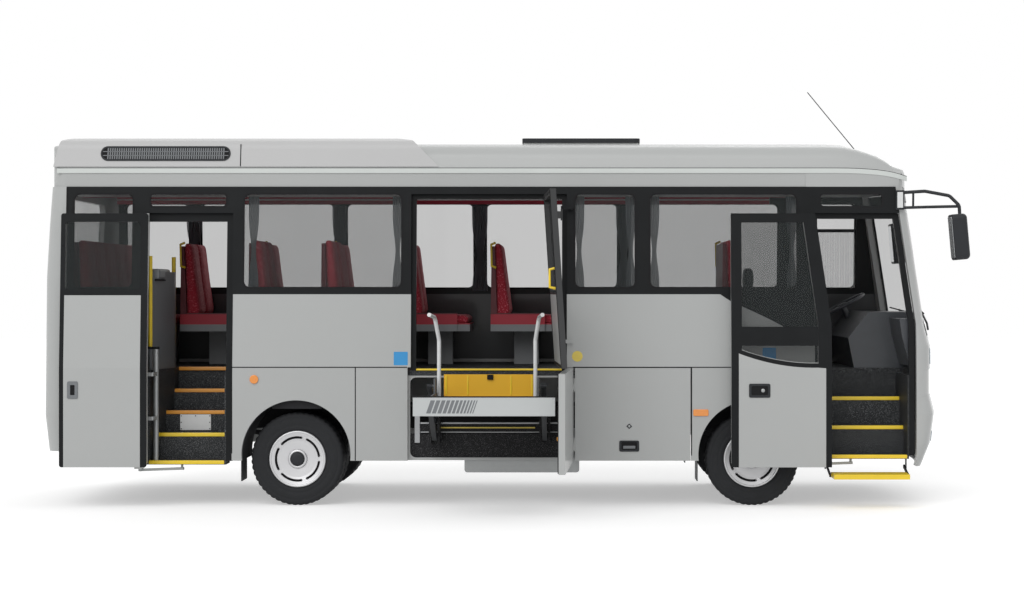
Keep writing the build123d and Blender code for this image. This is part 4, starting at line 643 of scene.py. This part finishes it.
def make_front_door():
    leaf = partial(sheet, body="front_door", face=door_face)
    x0, x1 = FRONT_DOOR[0] - FRONT_SHIFT + 0.008, FRONT_DOOR[1] - FRONT_SHIFT - 0.008
    low, top = 0.335, 2.405
    lean = (top - WINDSCREEN_Z) * RAKE
    curve_left, curve_right, curve_mid = 1.292, 1.186, 1.209
    glass_left, glass_right = x0 + 0.086, x1 - 0.110
    steps = 12
    lower_edge = []
    for k in range(steps + 1):
        t = k / steps
        x = glass_left + (glass_right - glass_left) * t
        bow = curve_left * (1 - t) ** 2 + 2 * (2 * curve_mid - (curve_left + curve_right) / 2) * t * (1 - t)
        lower_edge.append((x, bow + curve_right * t * t))
    panel_left, panel_right = x0 + 0.060, x1 - 0.048
    panel_edge = [(panel_left, curve_left - 0.030)] + [(x, z - 0.040) for x, z in lower_edge]
    panel_edge += [(panel_right, curve_right - 0.045)]
    panel = [(panel_left, low), (panel_right, low)] + list(reversed(panel_edge))
    leaf("front_door_panel", [panel], "body_grey", lift=0.0021, bevel=0.001)
    left = [(x0, low), (panel_left, low), (panel_left, curve_left - 0.004),
            (glass_left, curve_left - 0.004), (glass_left, top - 0.075), (x0, top)]
    head = [(x0, top), (glass_left, top - 0.075), (glass_right - lean + 0.012, top - 0.075),
            (x1 - lean, top)]
    right = [(x1 - lean, top), (glass_right - lean + 0.012, top - 0.075), (glass_right, WINDSCREEN_Z),
             (glass_right, curve_right - 0.004), (panel_right, curve_right - 0.004), (panel_right, low),
             (x1, low), (x1, WINDSCREEN_Z)]
    sill = [(panel_left, curve_left - 0.004)] + [(x, z - 0.004) for x, z in lower_edge]
    sill += [(panel_right, curve_right - 0.004)] + list(reversed(panel_edge))
    leaf("front_door_frame", [left, head, right, sill], "black_paint", thick=0.002)
    band = strip(glass_left - 0.002, glass_right + 0.004, 1.324, 1.479)
    leaf("front_door_glass_band", [band], "black_paint", lift=-0.0035, thick=0.001)
    hx0, hx1, hz0, hz1 = 1.830, 2.004, 0.902, 1.016
    leaf("front_door_handle", [(rounded(hx0, hx1, hz0, hz1, 0.014),
                                rounded(hx0 + 0.02, hx1 - 0.02, hz0 + 0.02, hz1 - 0.02, 0.01))],
         "dark_plastic", lift=0.005, thick=0.006, bevel=0.002)
    leaf("front_door_handle_well", [rounded(hx0 + 0.015, hx1 - 0.015, hz0 + 0.015, hz1 - 0.015, 0.01)],
         "rubber", lift=0.005, thick=0.001)
    lathe("front_door_lock", [(0.0, 0.012), (0.012, 0.012), (0.016, 0.009), (0.016, 0.004)],
          (1.944, -HALF - DOOR_OUT, 0.960), -1, "steel_grey", "front_door", steps=28, closed=False)


# Steps

RISER = 0.012


def make_step_noses():
    """Coloured nosings along the edges of the treads."""
    high, deep, over = 0.028, 0.035, 0.004
    rear_edge = REAR_DOOR[1] - 0.067
    yellow = []
    orange = []
    for index, z in enumerate((0.371, 0.587, 0.762, 0.936, FLOOR)):
        y = -1.085 + 0.2 * index - (RISER if index else 0)
        x0 = REAR_DOOR[0] + 0.037 + 0.105 * min(index / 3, 1) + 0.002
        span = (x0, rear_edge - 0.002, y - over, y + deep, z - high, z + over)
        (yellow if index < 2 else orange).append(span)
    front_left, front_right = FRONT_DOOR[0] + 0.047, FRONT_DOOR[1] - 0.068
    for index, z in enumerate((0.418, 0.646, 0.877)):
        y = -1.085 + 0.22 * index - (RISER if index else 0)
        yellow.append((front_left, front_right, y - over, y + deep, z - high, z + over))
    boxes("step_noses_yellow", yellow, "yellow_paint", bevel=0.006)
    boxes("step_noses_orange", orange, "orange_paint", bevel=0.006)
    threshold = [(LIFT_DOOR[0] + 0.042, LIFT_DOOR[1] - 0.042, -1.10, -1.04, FLOOR + 0.001, FLOOR + 0.016)]
    boxes("lift_threshold", threshold, "yellow_paint", bevel=0.004)
    plate = (-2.905, -2.645, -0.704, -0.698, 0.600, 0.732)
    boxes("step_access_plate", [plate], "white_rail", bevel=0.002)
    screws = []
    for x in (-2.895, -2.775, -2.655):
        for z in (0.612, 0.666, 0.720):
            if x != -2.775 or z == 0.720:
                screws.append((x - 0.004, x + 0.004, -0.708, -0.703, z - 0.004, z + 0.004))
    boxes("step_plate_screws", screws, "rubber", bevel=0.001)


# Roof

POD_LOW, POD_HALF, POD_SLANT = 2.797, 1.027, 35 / 213


def pod_face(z):
    return POD_HALF - (z - POD_LOW) * POD_SLANT


def make_pod_trim():
    """Side grille of the roof pod on both sides."""
    x0, x1, z0, z1 = -3.505, -2.431, 2.845, 2.968
    for side, word in ((-1, "near"), (1, "far")):
        plate = partial(sheet, side=side, face=pod_face)
        rim = (rounded(x0, x1, z0, z1, 0.060),
               rounded(x0 + 0.014, x1 - 0.014, z0 + 0.014, z1 - 0.014, 0.047))
        plate(f"pod_grille_rim_{word}", [rim], "dark_plastic", thick=0.006, bevel=0.002)
        plate(f"pod_grille_back_{word}", [rounded(x0 + 0.01, x1 - 0.01, z0 + 0.01, z1 - 0.01, 0.05)],
              "rubber", thick=0.001)
        slats = []
        count = 52
        pitch = (x1 - x0 - 0.10) / count
        for k in range(count):
            x = x0 + 0.05 + pitch * (k + 0.5)
            slats.append([(x - 0.005, z0 + 0.016), (x + 0.005, z0 + 0.016), (x + 0.008, z1 - 0.016),
                          (x - 0.002, z1 - 0.016)])
        for z in (z0 + 0.045, z1 - 0.045):
            slats.append(strip(x0 + 0.02, x1 - 0.02, z - 0.003, z + 0.003))
        plate(f"pod_grille_slats_{word}", slats, "grey_plastic", lift=0.001)
        plate(f"pod_seam_{word}", [strip(-2.352, -2.344, 2.80, 2.985)], "rubber", thick=0.001)


# Rain gutter along the roof: station, and how far it comes in and falls over the front dome
GUTTER_ROWS = [
    (-3.86, 0, 0), (-2.0, 0, 0), (0.0, 0, 0), (2.0, 0, 0), (2.54, 0, 0), (2.659, 0, 0.001),
    (2.766, 0, 0.004), (2.862, 0.002, 0.011), (2.914, 0.004, 0.015), (2.984, 0.008, 0.024),
    (3.045, 0.014, 0.035), (3.115, 0.028, 0.052), (3.16, 0.040, 0.066),
]


def ribbon(name, low, high, lift, thick, material):
    """Band along both gutters, between two heights measured from the gutter's line."""
    bm = bmesh.new()
    for side in (-1, 1):
        rings = []
        for x, inward, fall in GUTTER_ROWS:
            half = skin(2.783) - inward
            ring = []
            for z, out in ((low, lift), (high, lift), (high, lift + thick), (low, lift + thick)):
                y = side * (half - z * LEAN + out)
                ring.append(bm.verts.new((x, y, 2.783 - fall + z)))
            rings.append(ring)
        for here, after in zip(rings, rings[1:]):
            for k in range(4):
                following = (k + 1) % 4
                bm.faces.new((here[k], here[following], after[following], after[k]))
        bm.faces.new(rings[0])
        bm.faces.new(rings[-1])
    return from_bmesh(name, bm, material, ROOT, bevel=0.001)


def make_gutters():
    """Rain gutters along both edges of the roof, coloured as a lighter copy of the body grey for a painted
    highlight, with their dark joints.
    """
    ribbon("roof_gutters", -0.040, -0.001, -0.002, 0.007, "gutter_painted_highlight")
    ribbon("roof_gutter_joints", 0.000, 0.005, -0.010, 0.009, "rubber")


# Luggage racks

def make_racks():
    """Maroon edge and white line along the luggage racks."""
    x0, x1 = REAR_END + 0.05, 2.18
    for side, word in ((-1, "near"), (1, "far")):
        y = side * 0.700
        inner = (y - side * 0.014, y - side * 0.001)
        boxes(f"rack_edge_{word}", [(x0, x1, *inner, 2.556, 2.644)], "maroon", bevel=0.005)
        line = (y - side * 0.018, y - side * 0.014)
        boxes(f"rack_line_{word}", [(x0, x1, *line, 2.590, 2.600)], "white_rail", bevel=0.001)


# Front end

NOSE_TIP = 3.487
NOSE_SETBACK = [(0.330, 0.108), (0.513, 0.033), (0.761, 0.0), (0.900, 0.033), (1.316, 0.033),
                (1.500, 0.080), (2.631, 0.239)]
NOSE_BOW = 0.140


def nose_x(y, z):
    """The nose's surface at a place across and a height."""
    setback = NOSE_SETBACK[-1][1]
    for (z0, s0), (z1, s1) in zip(NOSE_SETBACK, NOSE_SETBACK[1:]):
        if z0 <= z <= z1:
            setback = s0 + (s1 - s0) * (z - z0) / (z1 - z0)
    half = skin(z)
    radius = (half ** 2 + NOSE_BOW ** 2) / (2 * NOSE_BOW)
    return NOSE_TIP - setback - radius + math.sqrt(radius ** 2 - y ** 2)


def patch(name, areas, material, lift=0.0, thick=0.003, slot=None, across=20, up=6):
    """Plates that follow the nose; an area is (y0, y1, z0, z1)."""
    bm = bmesh.new()
    for y0, y1, z0, z1 in areas:
        layers = []
        for reach in (lift, lift + thick):
            rows = []
            for i in range(up + 1):
                z = z0 + (z1 - z0) * i / up
                rows.append([bm.verts.new((nose_x(y0 + (y1 - y0) * k / across, z) + reach,
                                           y0 + (y1 - y0) * k / across, z)) for k in range(across + 1)])
            layers.append(rows)
        for rows in layers:
            for low, high in zip(rows, rows[1:]):
                for k in range(across):
                    bm.faces.new((low[k], low[k + 1], high[k + 1], high[k]))
        back, front = layers
        loop = [(0, k) for k in range(across + 1)] + [(i, across) for i in range(1, up + 1)]
        loop += [(up, k) for k in range(across - 1, -1, -1)] + [(i, 0) for i in range(up - 1, 0, -1)]
        for (i, k), (j, m) in zip(loop, loop[1:] + loop[:1]):
            bm.faces.new((back[i][k], back[j][m], front[j][m], front[i][k]))
    return from_bmesh(name, bm, material, ROOT, slot)


def make_front_trim():
    """Grille, windscreen edges, wipers and small lamps of the front."""
    patch("front_grille_back", [(-0.54, 0.54, 0.925, 1.115)], "rubber", lift=0.0005, thick=0.001)
    slats = [(-0.53, 0.53, z, z + 0.016) for z in (0.940, 0.975, 1.010, 1.045, 1.080)]
    patch("front_grille_slats", slats, "dark_plastic", lift=0.0015, thick=0.002, up=1)
    patch("bumper_intake", [(-0.46, 0.46, 0.50, 0.645)], "rubber", lift=0.0005)
    patch("bumper_bars", [(-0.45, 0.45, z, z + 0.014) for z in (0.52, 0.56, 0.60)], "dark_plastic",
          lift=0.002, thick=0.006, up=1)
    patch("blank_plate", [(-0.26, 0.26, 0.70, 0.81)], "white_rail", lift=0.002, thick=0.005)
    edge = 0.975
    frames = [(-edge, -edge + 0.035, 1.53, 2.60), (edge - 0.035, edge, 1.53, 2.60),
              (-edge, edge, 1.502, 1.53), (-edge, edge, 2.52, 2.628)]
    patch("windscreen_border", frames, "black_paint", lift=-0.0035, up=10)
    patch("windscreen_cowl", [(-0.96, 0.96, 1.400, 1.497)], "black_paint", lift=0.0005)
    for side, word in ((-1, "near"), (1, "far")):
        y = side * 0.78
        patch(f"fog_lamp_{word}", [(y - 0.07, y + 0.07, 0.52, 0.60)], "lamp_lens", lift=0.001,
              thick=0.006, across=6)
        patch(f"corner_reflector_{word}", [(side * 0.90 - 0.05, side * 0.90 + 0.05, 1.165, 1.296)],
              "lamp_lens", lift=0.001, thick=0.006, across=6)
    arms = []
    blades = []
    for pivot_y, tip_y in ((-0.86, -0.20), (0.02, 0.70)):
        tip_z = 1.60
        base = (nose_x(pivot_y, 1.45) + 0.020, pivot_y, 1.45)
        knee = (nose_x(pivot_y + 0.06, 1.50) + 0.024, pivot_y + 0.06, 1.50)
        tip = (nose_x(tip_y, tip_z) + 0.018, tip_y, tip_z)
        arms.append([base, knee, tip])
        blades.append([(nose_x(tip_y - 0.34, tip_z - 0.02) + 0.012, tip_y - 0.34, tip_z - 0.02),
                       (nose_x(tip_y, tip_z) + 0.014, tip_y, tip_z),
                       (nose_x(tip_y + 0.22, tip_z + 0.02) + 0.012, tip_y + 0.22, tip_z + 0.02)])
    tube("wiper_arms", arms, 0.009, "dark_plastic")
    tube("wiper_blades", blades, 0.006, "rubber")
    caps = []
    for side in (-1, 1):
        y = side * (skin(2.6) + 0.0295)
        caps.append((3.070, 3.118, y - 0.0045, y + 0.0045, 2.455, 2.585))
    boxes("mirror_foot_covers", caps, "white_rail", slot="light_trim", bevel=0.004)
    for side, word, reach in ((-1, "near", 0.340), (1, "far", 0.210)):
        glass = boxes(f"mirror_glass_{word}", [(-0.0655, -0.0625, -0.088, 0.088, -0.165, 0.165)],
                      "mirror_glass", bevel=0.001)
        place = Matrix.Translation((NOSE + reach - 0.005, side * 1.220, 2.212))
        glass.data.transform(place @ Matrix.Rotation(math.radians(-5), 4, "Y"))


# Lift and its doors

UPPER_HINGE = (0.306, -1.152)
LOWER_HINGE = (0.408, -1.146)


def swing(hinge, degrees):
    """Turn about a vertical hinge."""
    there = Matrix.Translation((hinge[0], hinge[1], 0))
    return there @ Matrix.Rotation(math.radians(degrees), 4, "Z") @ there.inverted()


def make_lift_trim():
    """Stripes, edges, latch and bars of the lift."""
    body = "platform"
    plate_y = PLATFORM_FAR - 0.025
    boxes("lift_plate_edge", [(-0.826, 0.260, plate_y - 0.004, plate_y + 0.02, 0.957, 0.966)], "rubber",
          body=body, bevel=0.002)
    bm = bmesh.new()
    x = -0.725
    for k in range(12):
        width = 0.034 - 0.0024 * k
        low, high, slant = 0.835, 0.935, 0.035
        corners = [(x, low), (x + width, low), (x + width + slant, high), (x + slant, high)]
        bm.faces.new([bm.verts.new((cx, plate_y - 0.0006, cz)) for cx, cz in corners])
        x += width + 0.010
    from_bmesh("lift_plate_stripes", bm, "grey_plastic", body, "steel_grey")
    latch_y = PLATFORM_NEAR - 0.018
    boxes("lift_barrier_latch", [(-0.297, -0.247, latch_y - 0.016, latch_y, 1.052, 1.092)], "rubber",
          body=body)
    ribs = [(x, x + 0.012, latch_y - 0.006, latch_y, 0.93, 1.085) for x in (-0.635, -0.46, -0.11, 0.06)]
    boxes("lift_barrier_ribs", ribs, "yellow_paint", body=body, bevel=0.002)
    rail_y = -1.075
    boxes("lift_carriage_rails", [(-0.858, 0.292, rail_y - 0.010, rail_y, 0.676, 0.688),
                                  (-0.858, 0.292, rail_y - 0.008, rail_y, 0.604, 0.612)], "lift_grey",
          bevel=0.002)
    boxes("lift_carriage_bar", [(-0.690, 0.087, rail_y - 0.014, rail_y - 0.002, 0.640, 0.650)],
          "pale_sign", slot="yellow_paint", bevel=0.002)
    boxes("lift_apron", [(-0.955, 0.356, rail_y + 0.006, rail_y + 0.014, 0.388, 0.597)], "lift_dark",
          bevel=0.002)
    boxes("lift_guide_plate", [(-0.905, -0.862, rail_y - 0.010, rail_y + 0.002, 0.520, 0.745)],
          "lift_grey", bevel=0.002)


def make_lift_door_trim():
    """Window band, seals, grip, latch and lever of the two lift doors."""
    upper = swing(UPPER_HINGE, 93)
    body = "upper_lift_door"
    x0, x1 = -0.889, 0.290
    z0, z1 = SEAM + 0.036, 2.550
    band = (rounded(x0 + 0.002, x1 - 0.002, BELT, z1, 0.02),
            rounded(x0 + 0.050, x1 - 0.050, GLASS_LOW - 0.028, z1 - 0.048, 0.05))
    pieces = [
        sheet("upper_lift_door_band", [band], "black_paint", body=body, thick=0.0015),
        sheet("upper_lift_door_seal", [(rounded(x0 + 0.004, x1 - 0.004, z0, z1, 0.02),
                                        rounded(x0 + 0.026, x1 - 0.026, z0 + 0.022, z1 - 0.022, 0.02))],
              "rubber", body=body, lift=-0.049, thick=0.004),
    ]
    inner_y = -skin(1.86) + 0.045
    grip_x = x0 + 0.045
    bar = [(grip_x, inner_y, 1.790), (grip_x, inner_y + 0.045, 1.800), (grip_x, inner_y + 0.045, 1.935),
           (grip_x, inner_y, 1.945)]
    tube("upper_lift_door_grip", [[upper @ Vector(point) for point in bar]], 0.011, "yellow_paint", body=body)
    for piece in pieces:
        piece.data.transform(upper)
    lower = swing(LOWER_HINGE, 87.3)
    body = "lower_door"
    x0, x1 = BAY[0] + 0.004, BAY[1] - 0.006
    seal = (rounded(x0 + 0.004, x1 - 0.004, SKIRT + 0.006, SEAM - 0.012, 0.02),
            rounded(x0 + 0.034, x1 - 0.034, SKIRT + 0.036, SEAM - 0.042, 0.03))
    pieces = [
        sheet("lower_lift_door_seal", [seal], "rubber", body=body, lift=-0.058, thick=0.008),
        boxes("lower_lift_door_latch", [(x0 + 0.05, x0 + 0.09, -1.090, -1.082, 0.55, 0.73)], "dark_plastic",
              body=body),
        boxes("lower_lift_door_lever", [(x0 + 0.058, x0 + 0.082, -1.082, -1.074, 0.63, 0.66)],
              "orange_paint", body=body),
    ]
    for piece in pieces:
        piece.data.transform(lower)


# Inside

SEAT_BACKS_LEFT = (-3.067, -2.400, -1.750, -1.100, -0.327)
SEAT_BACKS_RIGHT = (-2.290, -1.690, 1.630)
CUSHION_LOW, CUSHION_HIGH, BACK_HIGH = 1.445, 1.555, 2.205


def pad_form(outline, width, name):
    """Closed block with an XZ outline and a width along Y, ready to be filled out."""
    bm = bmesh.new()
    near = [bm.verts.new((x, -width / 2, z)) for x, z in outline]
    far = [bm.verts.new((x, width / 2, z)) for x, z in outline]
    bm.faces.new(near)
    bm.faces.new(far)
    for k in range(len(outline)):
        after = (k + 1) % len(outline)
        bm.faces.new((near[k], far[k], far[after], near[after]))
    bmesh.ops.recalc_face_normals(bm, faces=bm.faces[:])
    mesh = bpy.data.meshes.new(name)
    bm.to_mesh(mesh)
    bm.free()
    return mesh


def fill_out(mesh, voxel, name):
    """Remeshes a pad's block and lets cloth under pressure round it, each point by no more than a cap."""
    pressure, cap, frames = 3.0, 0.010, 14
    obj = bpy.data.objects.new(name, mesh)
    bpy.context.collection.objects.link(obj)
    remesh = obj.modifiers.new("remesh", "REMESH")
    remesh.mode = "VOXEL"
    remesh.voxel_size = voxel
    even = obj.modifiers.new("even", "SMOOTH")
    even.iterations = 6
    even.factor = 0.5
    scene = bpy.context.scene
    depsgraph = bpy.context.evaluated_depsgraph_get()
    started = bpy.data.meshes.new_from_object(obj.evaluated_get(depsgraph))
    obj.modifiers.clear()
    obj.data = started
    cloth = obj.modifiers.new("filling", "CLOTH")
    cloth.settings.use_pressure = True
    cloth.settings.uniform_pressure_force = pressure
    cloth.settings.effector_weights.gravity = 0
    cloth.point_cache.frame_start, cloth.point_cache.frame_end = 1, frames
    for step in range(1, frames + 1):
        scene.frame_set(step)
    depsgraph = bpy.context.evaluated_depsgraph_get()
    result = bpy.data.meshes.new_from_object(obj.evaluated_get(depsgraph))
    for before, after in zip(started.vertices, result.vertices):
        moved = after.co - before.co
        if moved.length > cap:
            after.co = before.co + moved.normalized() * cap
    scene.frame_set(1)
    bpy.data.objects.remove(obj)
    for face in result.polygons:
        face.use_smooth = True
    return result


def channel(mesh, places, depth):
    """Sewn channels along a pad: points near each place across it sink in."""
    half_width = 0.016
    for vertex in mesh.vertices:
        for place in places:
            distance = abs(vertex.co.y - place)
            if distance < half_width:
                sink = depth * math.cos(math.pi * distance / half_width / 2)
                vertex.co -= vertex.normal * sink


def make_pads():
    """Padded backs and cushions of every seat, from a few filled forms."""
    low, high, top = CUSHION_LOW, CUSHION_HIGH, BACK_HIGH - 0.006
    inset = 0.006
    width = 0.400 - 2 * inset
    bench_x = REAR_END + 0.075
    span = HALF - WALL - 0.105
    bench_width = (2 * span - 0.04) / 5
    narrow = bench_width - 2 * inset
    driver_x, driver_z = 2.000, FLOOR + 0.330
    blocks = {
        "back": (0, [(0.062, low + 0.064), (0.168, low + 0.122), (0.086, top), (0.040, top)], width, 0.013),
        "cushion": (0, [(0.188, low + 0.043), (0.582, low + 0.043), (0.586, high - 0.020),
                        (0.560, high - 0.006), (0.188, high - 0.010)], width, 0.013),
        "bench_back": (bench_x, [(0.022, low + 0.064), (0.128, low + 0.122), (0.056, top), (0.010, top)],
                       narrow, 0.013),
        "bench_cushion": (bench_x, [(0.148, low + 0.043), (0.532, low + 0.043), (0.536, high - 0.020),
                                    (0.510, high - 0.006), (0.148, high - 0.010)], narrow, 0.013),
        "driver_back": (driver_x, [(0.016, driver_z + 0.030), (0.126, driver_z + 0.064), (0.056, 1.784),
                                   (-0.052, 1.784)], 0.468, 0.015),
        "driver_cushion": (driver_x, [(0.142, driver_z + 0.004), (0.552, driver_z + 0.004),
                                      (0.556, driver_z + 0.070), (0.530, driver_z + 0.086),
                                      (0.142, driver_z + 0.084)], 0.478, 0.015),
        "driver_headrest": (driver_x, [(-0.056, 1.790), (0.016, 1.790), (0.018, 1.950), (0, 1.976),
                                       (-0.040, 1.976), (-0.056, 1.950)], 0.232, 0.012),
    }
    channels = {"back": (0.115, 0.007), "cushion": (0.115, 0.006), "bench_back": (0.100, 0.007)}
    forms = {}
    for name, (x, outline, wide, voxel) in blocks.items():
        forms[name] = fill_out(pad_form([(x + ahead, z) for ahead, z in outline], wide, name), voxel, name)
        if name in channels:
            place, depth = channels[name]
            channel(forms[name], (-place, place), depth)
    places = []
    for side, rows in ((1, SEAT_BACKS_LEFT), (-1, SEAT_BACKS_RIGHT)):
        for row, row_x in enumerate(rows):
            for index in range(2):
                y = side * (0.995 - 0.200 - 0.410 * index)
                word = f"{'left' if side > 0 else 'right'}_{row + 1}_{index + 1}"
                places.append((f"seat_back_{word}", "back", row_x, y, "seat_red"))
                places.append((f"seat_cushion_{word}", "cushion", row_x, y, "seat_red"))
    for k in range(5):
        y = -span + bench_width / 2 + k * (bench_width + 0.01)
        places.append((f"bench_back_{k + 1}", "bench_back", 0.0, y, "seat_red"))
        places.append((f"bench_cushion_{k + 1}", "bench_cushion", 0.0, y, "seat_red"))
    for part in ("back", "cushion", "headrest"):
        places.append((f"driver_{part}", f"driver_{part}", 0.0, 0.640, "dark_fabric"))
    for name, form, row_x, y, material in places:
        mesh = forms[form].copy()
        obj = bpy.data.objects.new(name, mesh)
        bpy.context.collection.objects.link(obj)
        mesh.transform(Matrix.Translation((row_x, y, 0)))
        settle(obj, material, ROOT, "seat_red")
        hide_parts("seat_pads")


def make_curtain(name, x, half, side, z0, z1, folds):
    """Gathered curtain, tied below its middle."""
    tie = (z0 + z1) / 2 - 0.060
    rows, columns = 36, folds * 8
    bm = bmesh.new()
    grid = []
    for i in range(rows + 1):
        z = z0 + (z1 - z0) * i / rows
        pull = math.exp(-((z - tie) / 0.16) ** 2)
        width = half * (1 - 0.58 * pull)
        depth = 0.0075 * (1 - 0.35 * pull)
        line = []
        for k in range(columns + 1):
            t = k / columns
            wave = math.sin(2 * math.pi * folds * t + 0.35 * math.sin(5 * z))
            y = side * (skin(z) - WALL - 0.0125) + depth * wave
            line.append(bm.verts.new((x - width + 2 * width * t, y, z)))
        grid.append(line)
    for low, high in zip(grid, grid[1:]):
        for k in range(columns):
            bm.faces.new((low[k], low[k + 1], high[k + 1], high[k]))
    area = sum(face.calc_area() for face in bm.faces)
    obj = from_bmesh(name, bm, "curtain_grey", ROOT, smooth=True)
    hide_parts("curtains")


def make_curtains():
    z0, z1 = GLASS_LOW - 0.018, GLASS_TOP - 0.027
    for k, x in enumerate((-2.240, -1.050, 0.450, 0.875, 1.070, 2.205)):
        make_curtain(f"curtain_near_{k + 1}", x, 0.043, -1, z0, z1, 6)
    for k, x in enumerate((-3.083, -1.740, -0.456, 0.870)):
        make_curtain(f"curtain_far_{k + 1}", x, 0.072, 1, z0, z1, 9)


DRIVER_BLIND = (2.43, 3.0)


def make_cabin_trim():
    """Grips, rails and covers inside the cabin."""
    grips = []
    for row_x, side in [(x, -1) for x in SEAT_BACKS_RIGHT] + [(x, 1) for x in SEAT_BACKS_LEFT]:
        y = side * (0.995 - 0.81 - 0.014)
        grips.append([(row_x + 0.050, y, 1.975), (row_x + 0.010, y, 1.990), (row_x + 0.006, y, 2.180),
                      (row_x + 0.046, y, 2.196)])
    tube("seat_grips", grips, 0.011, "yellow_paint")
    x0 = REAR_DOOR[0] + 0.037 - 0.016
    slant = 0.105 / 0.6
    near_y, far_y = -0.955, -0.345
    rails = []
    for y, x in ((near_y, x0 + slant * 0.130), (far_y, x0 + 0.105)):
        rails.append([(x - 0.017, y, 1.30), (x - 0.017, y, 2.0605)])
    tube("partition_rails", rails, 0.0178, "yellow_paint")
    mid_x = x0 + slant * 0.25
    boxes("partition_cushion", [(mid_x - 0.055, mid_x + 0.030, -0.90, -0.42, 1.865, 1.955)],
          "grey_plastic", bevel=0.02)
    boxes("partition_edge", [(mid_x - 0.058, mid_x + 0.033, -0.905, -0.415, 1.855, 1.868)], "rubber",
          bevel=0.005)
    pleats = 24
    pitch = (DRIVER_BLIND[1] - DRIVER_BLIND[0]) / pleats
    slats = []
    for k in range(pleats):
        x = DRIVER_BLIND[0] + k * pitch
        slats.append((x + 0.001, x + pitch - 0.001, 1.026 + 0.003 * (k % 2), 1.032 + 0.003 * (k % 2),
                      1.80, 2.31))
    boxes("driver_blind", slats, "blind", bevel=0.0)
    boxes("driver_blind_roller", [(*DRIVER_BLIND, 1.018, 1.036, 2.31, 2.34)], "dark_plastic")


def main():
    make_camera()
    make_stage()
    dress_nodes()
    make_wheels()
    make_window_trim()
    make_seams()
    make_markers()
    make_arch_liners()
    make_flap_trim()
    make_rear_door()
    make_front_door()
    make_step_noses()
    make_pod_trim()
    make_gutters()
    make_racks()
    make_front_trim()
    make_lift_trim()
    make_lift_door_trim()
    make_pads()
    make_curtains()
    make_cabin_trim()
    bpy.context.scene.view_settings.view_transform = "Standard"


main()
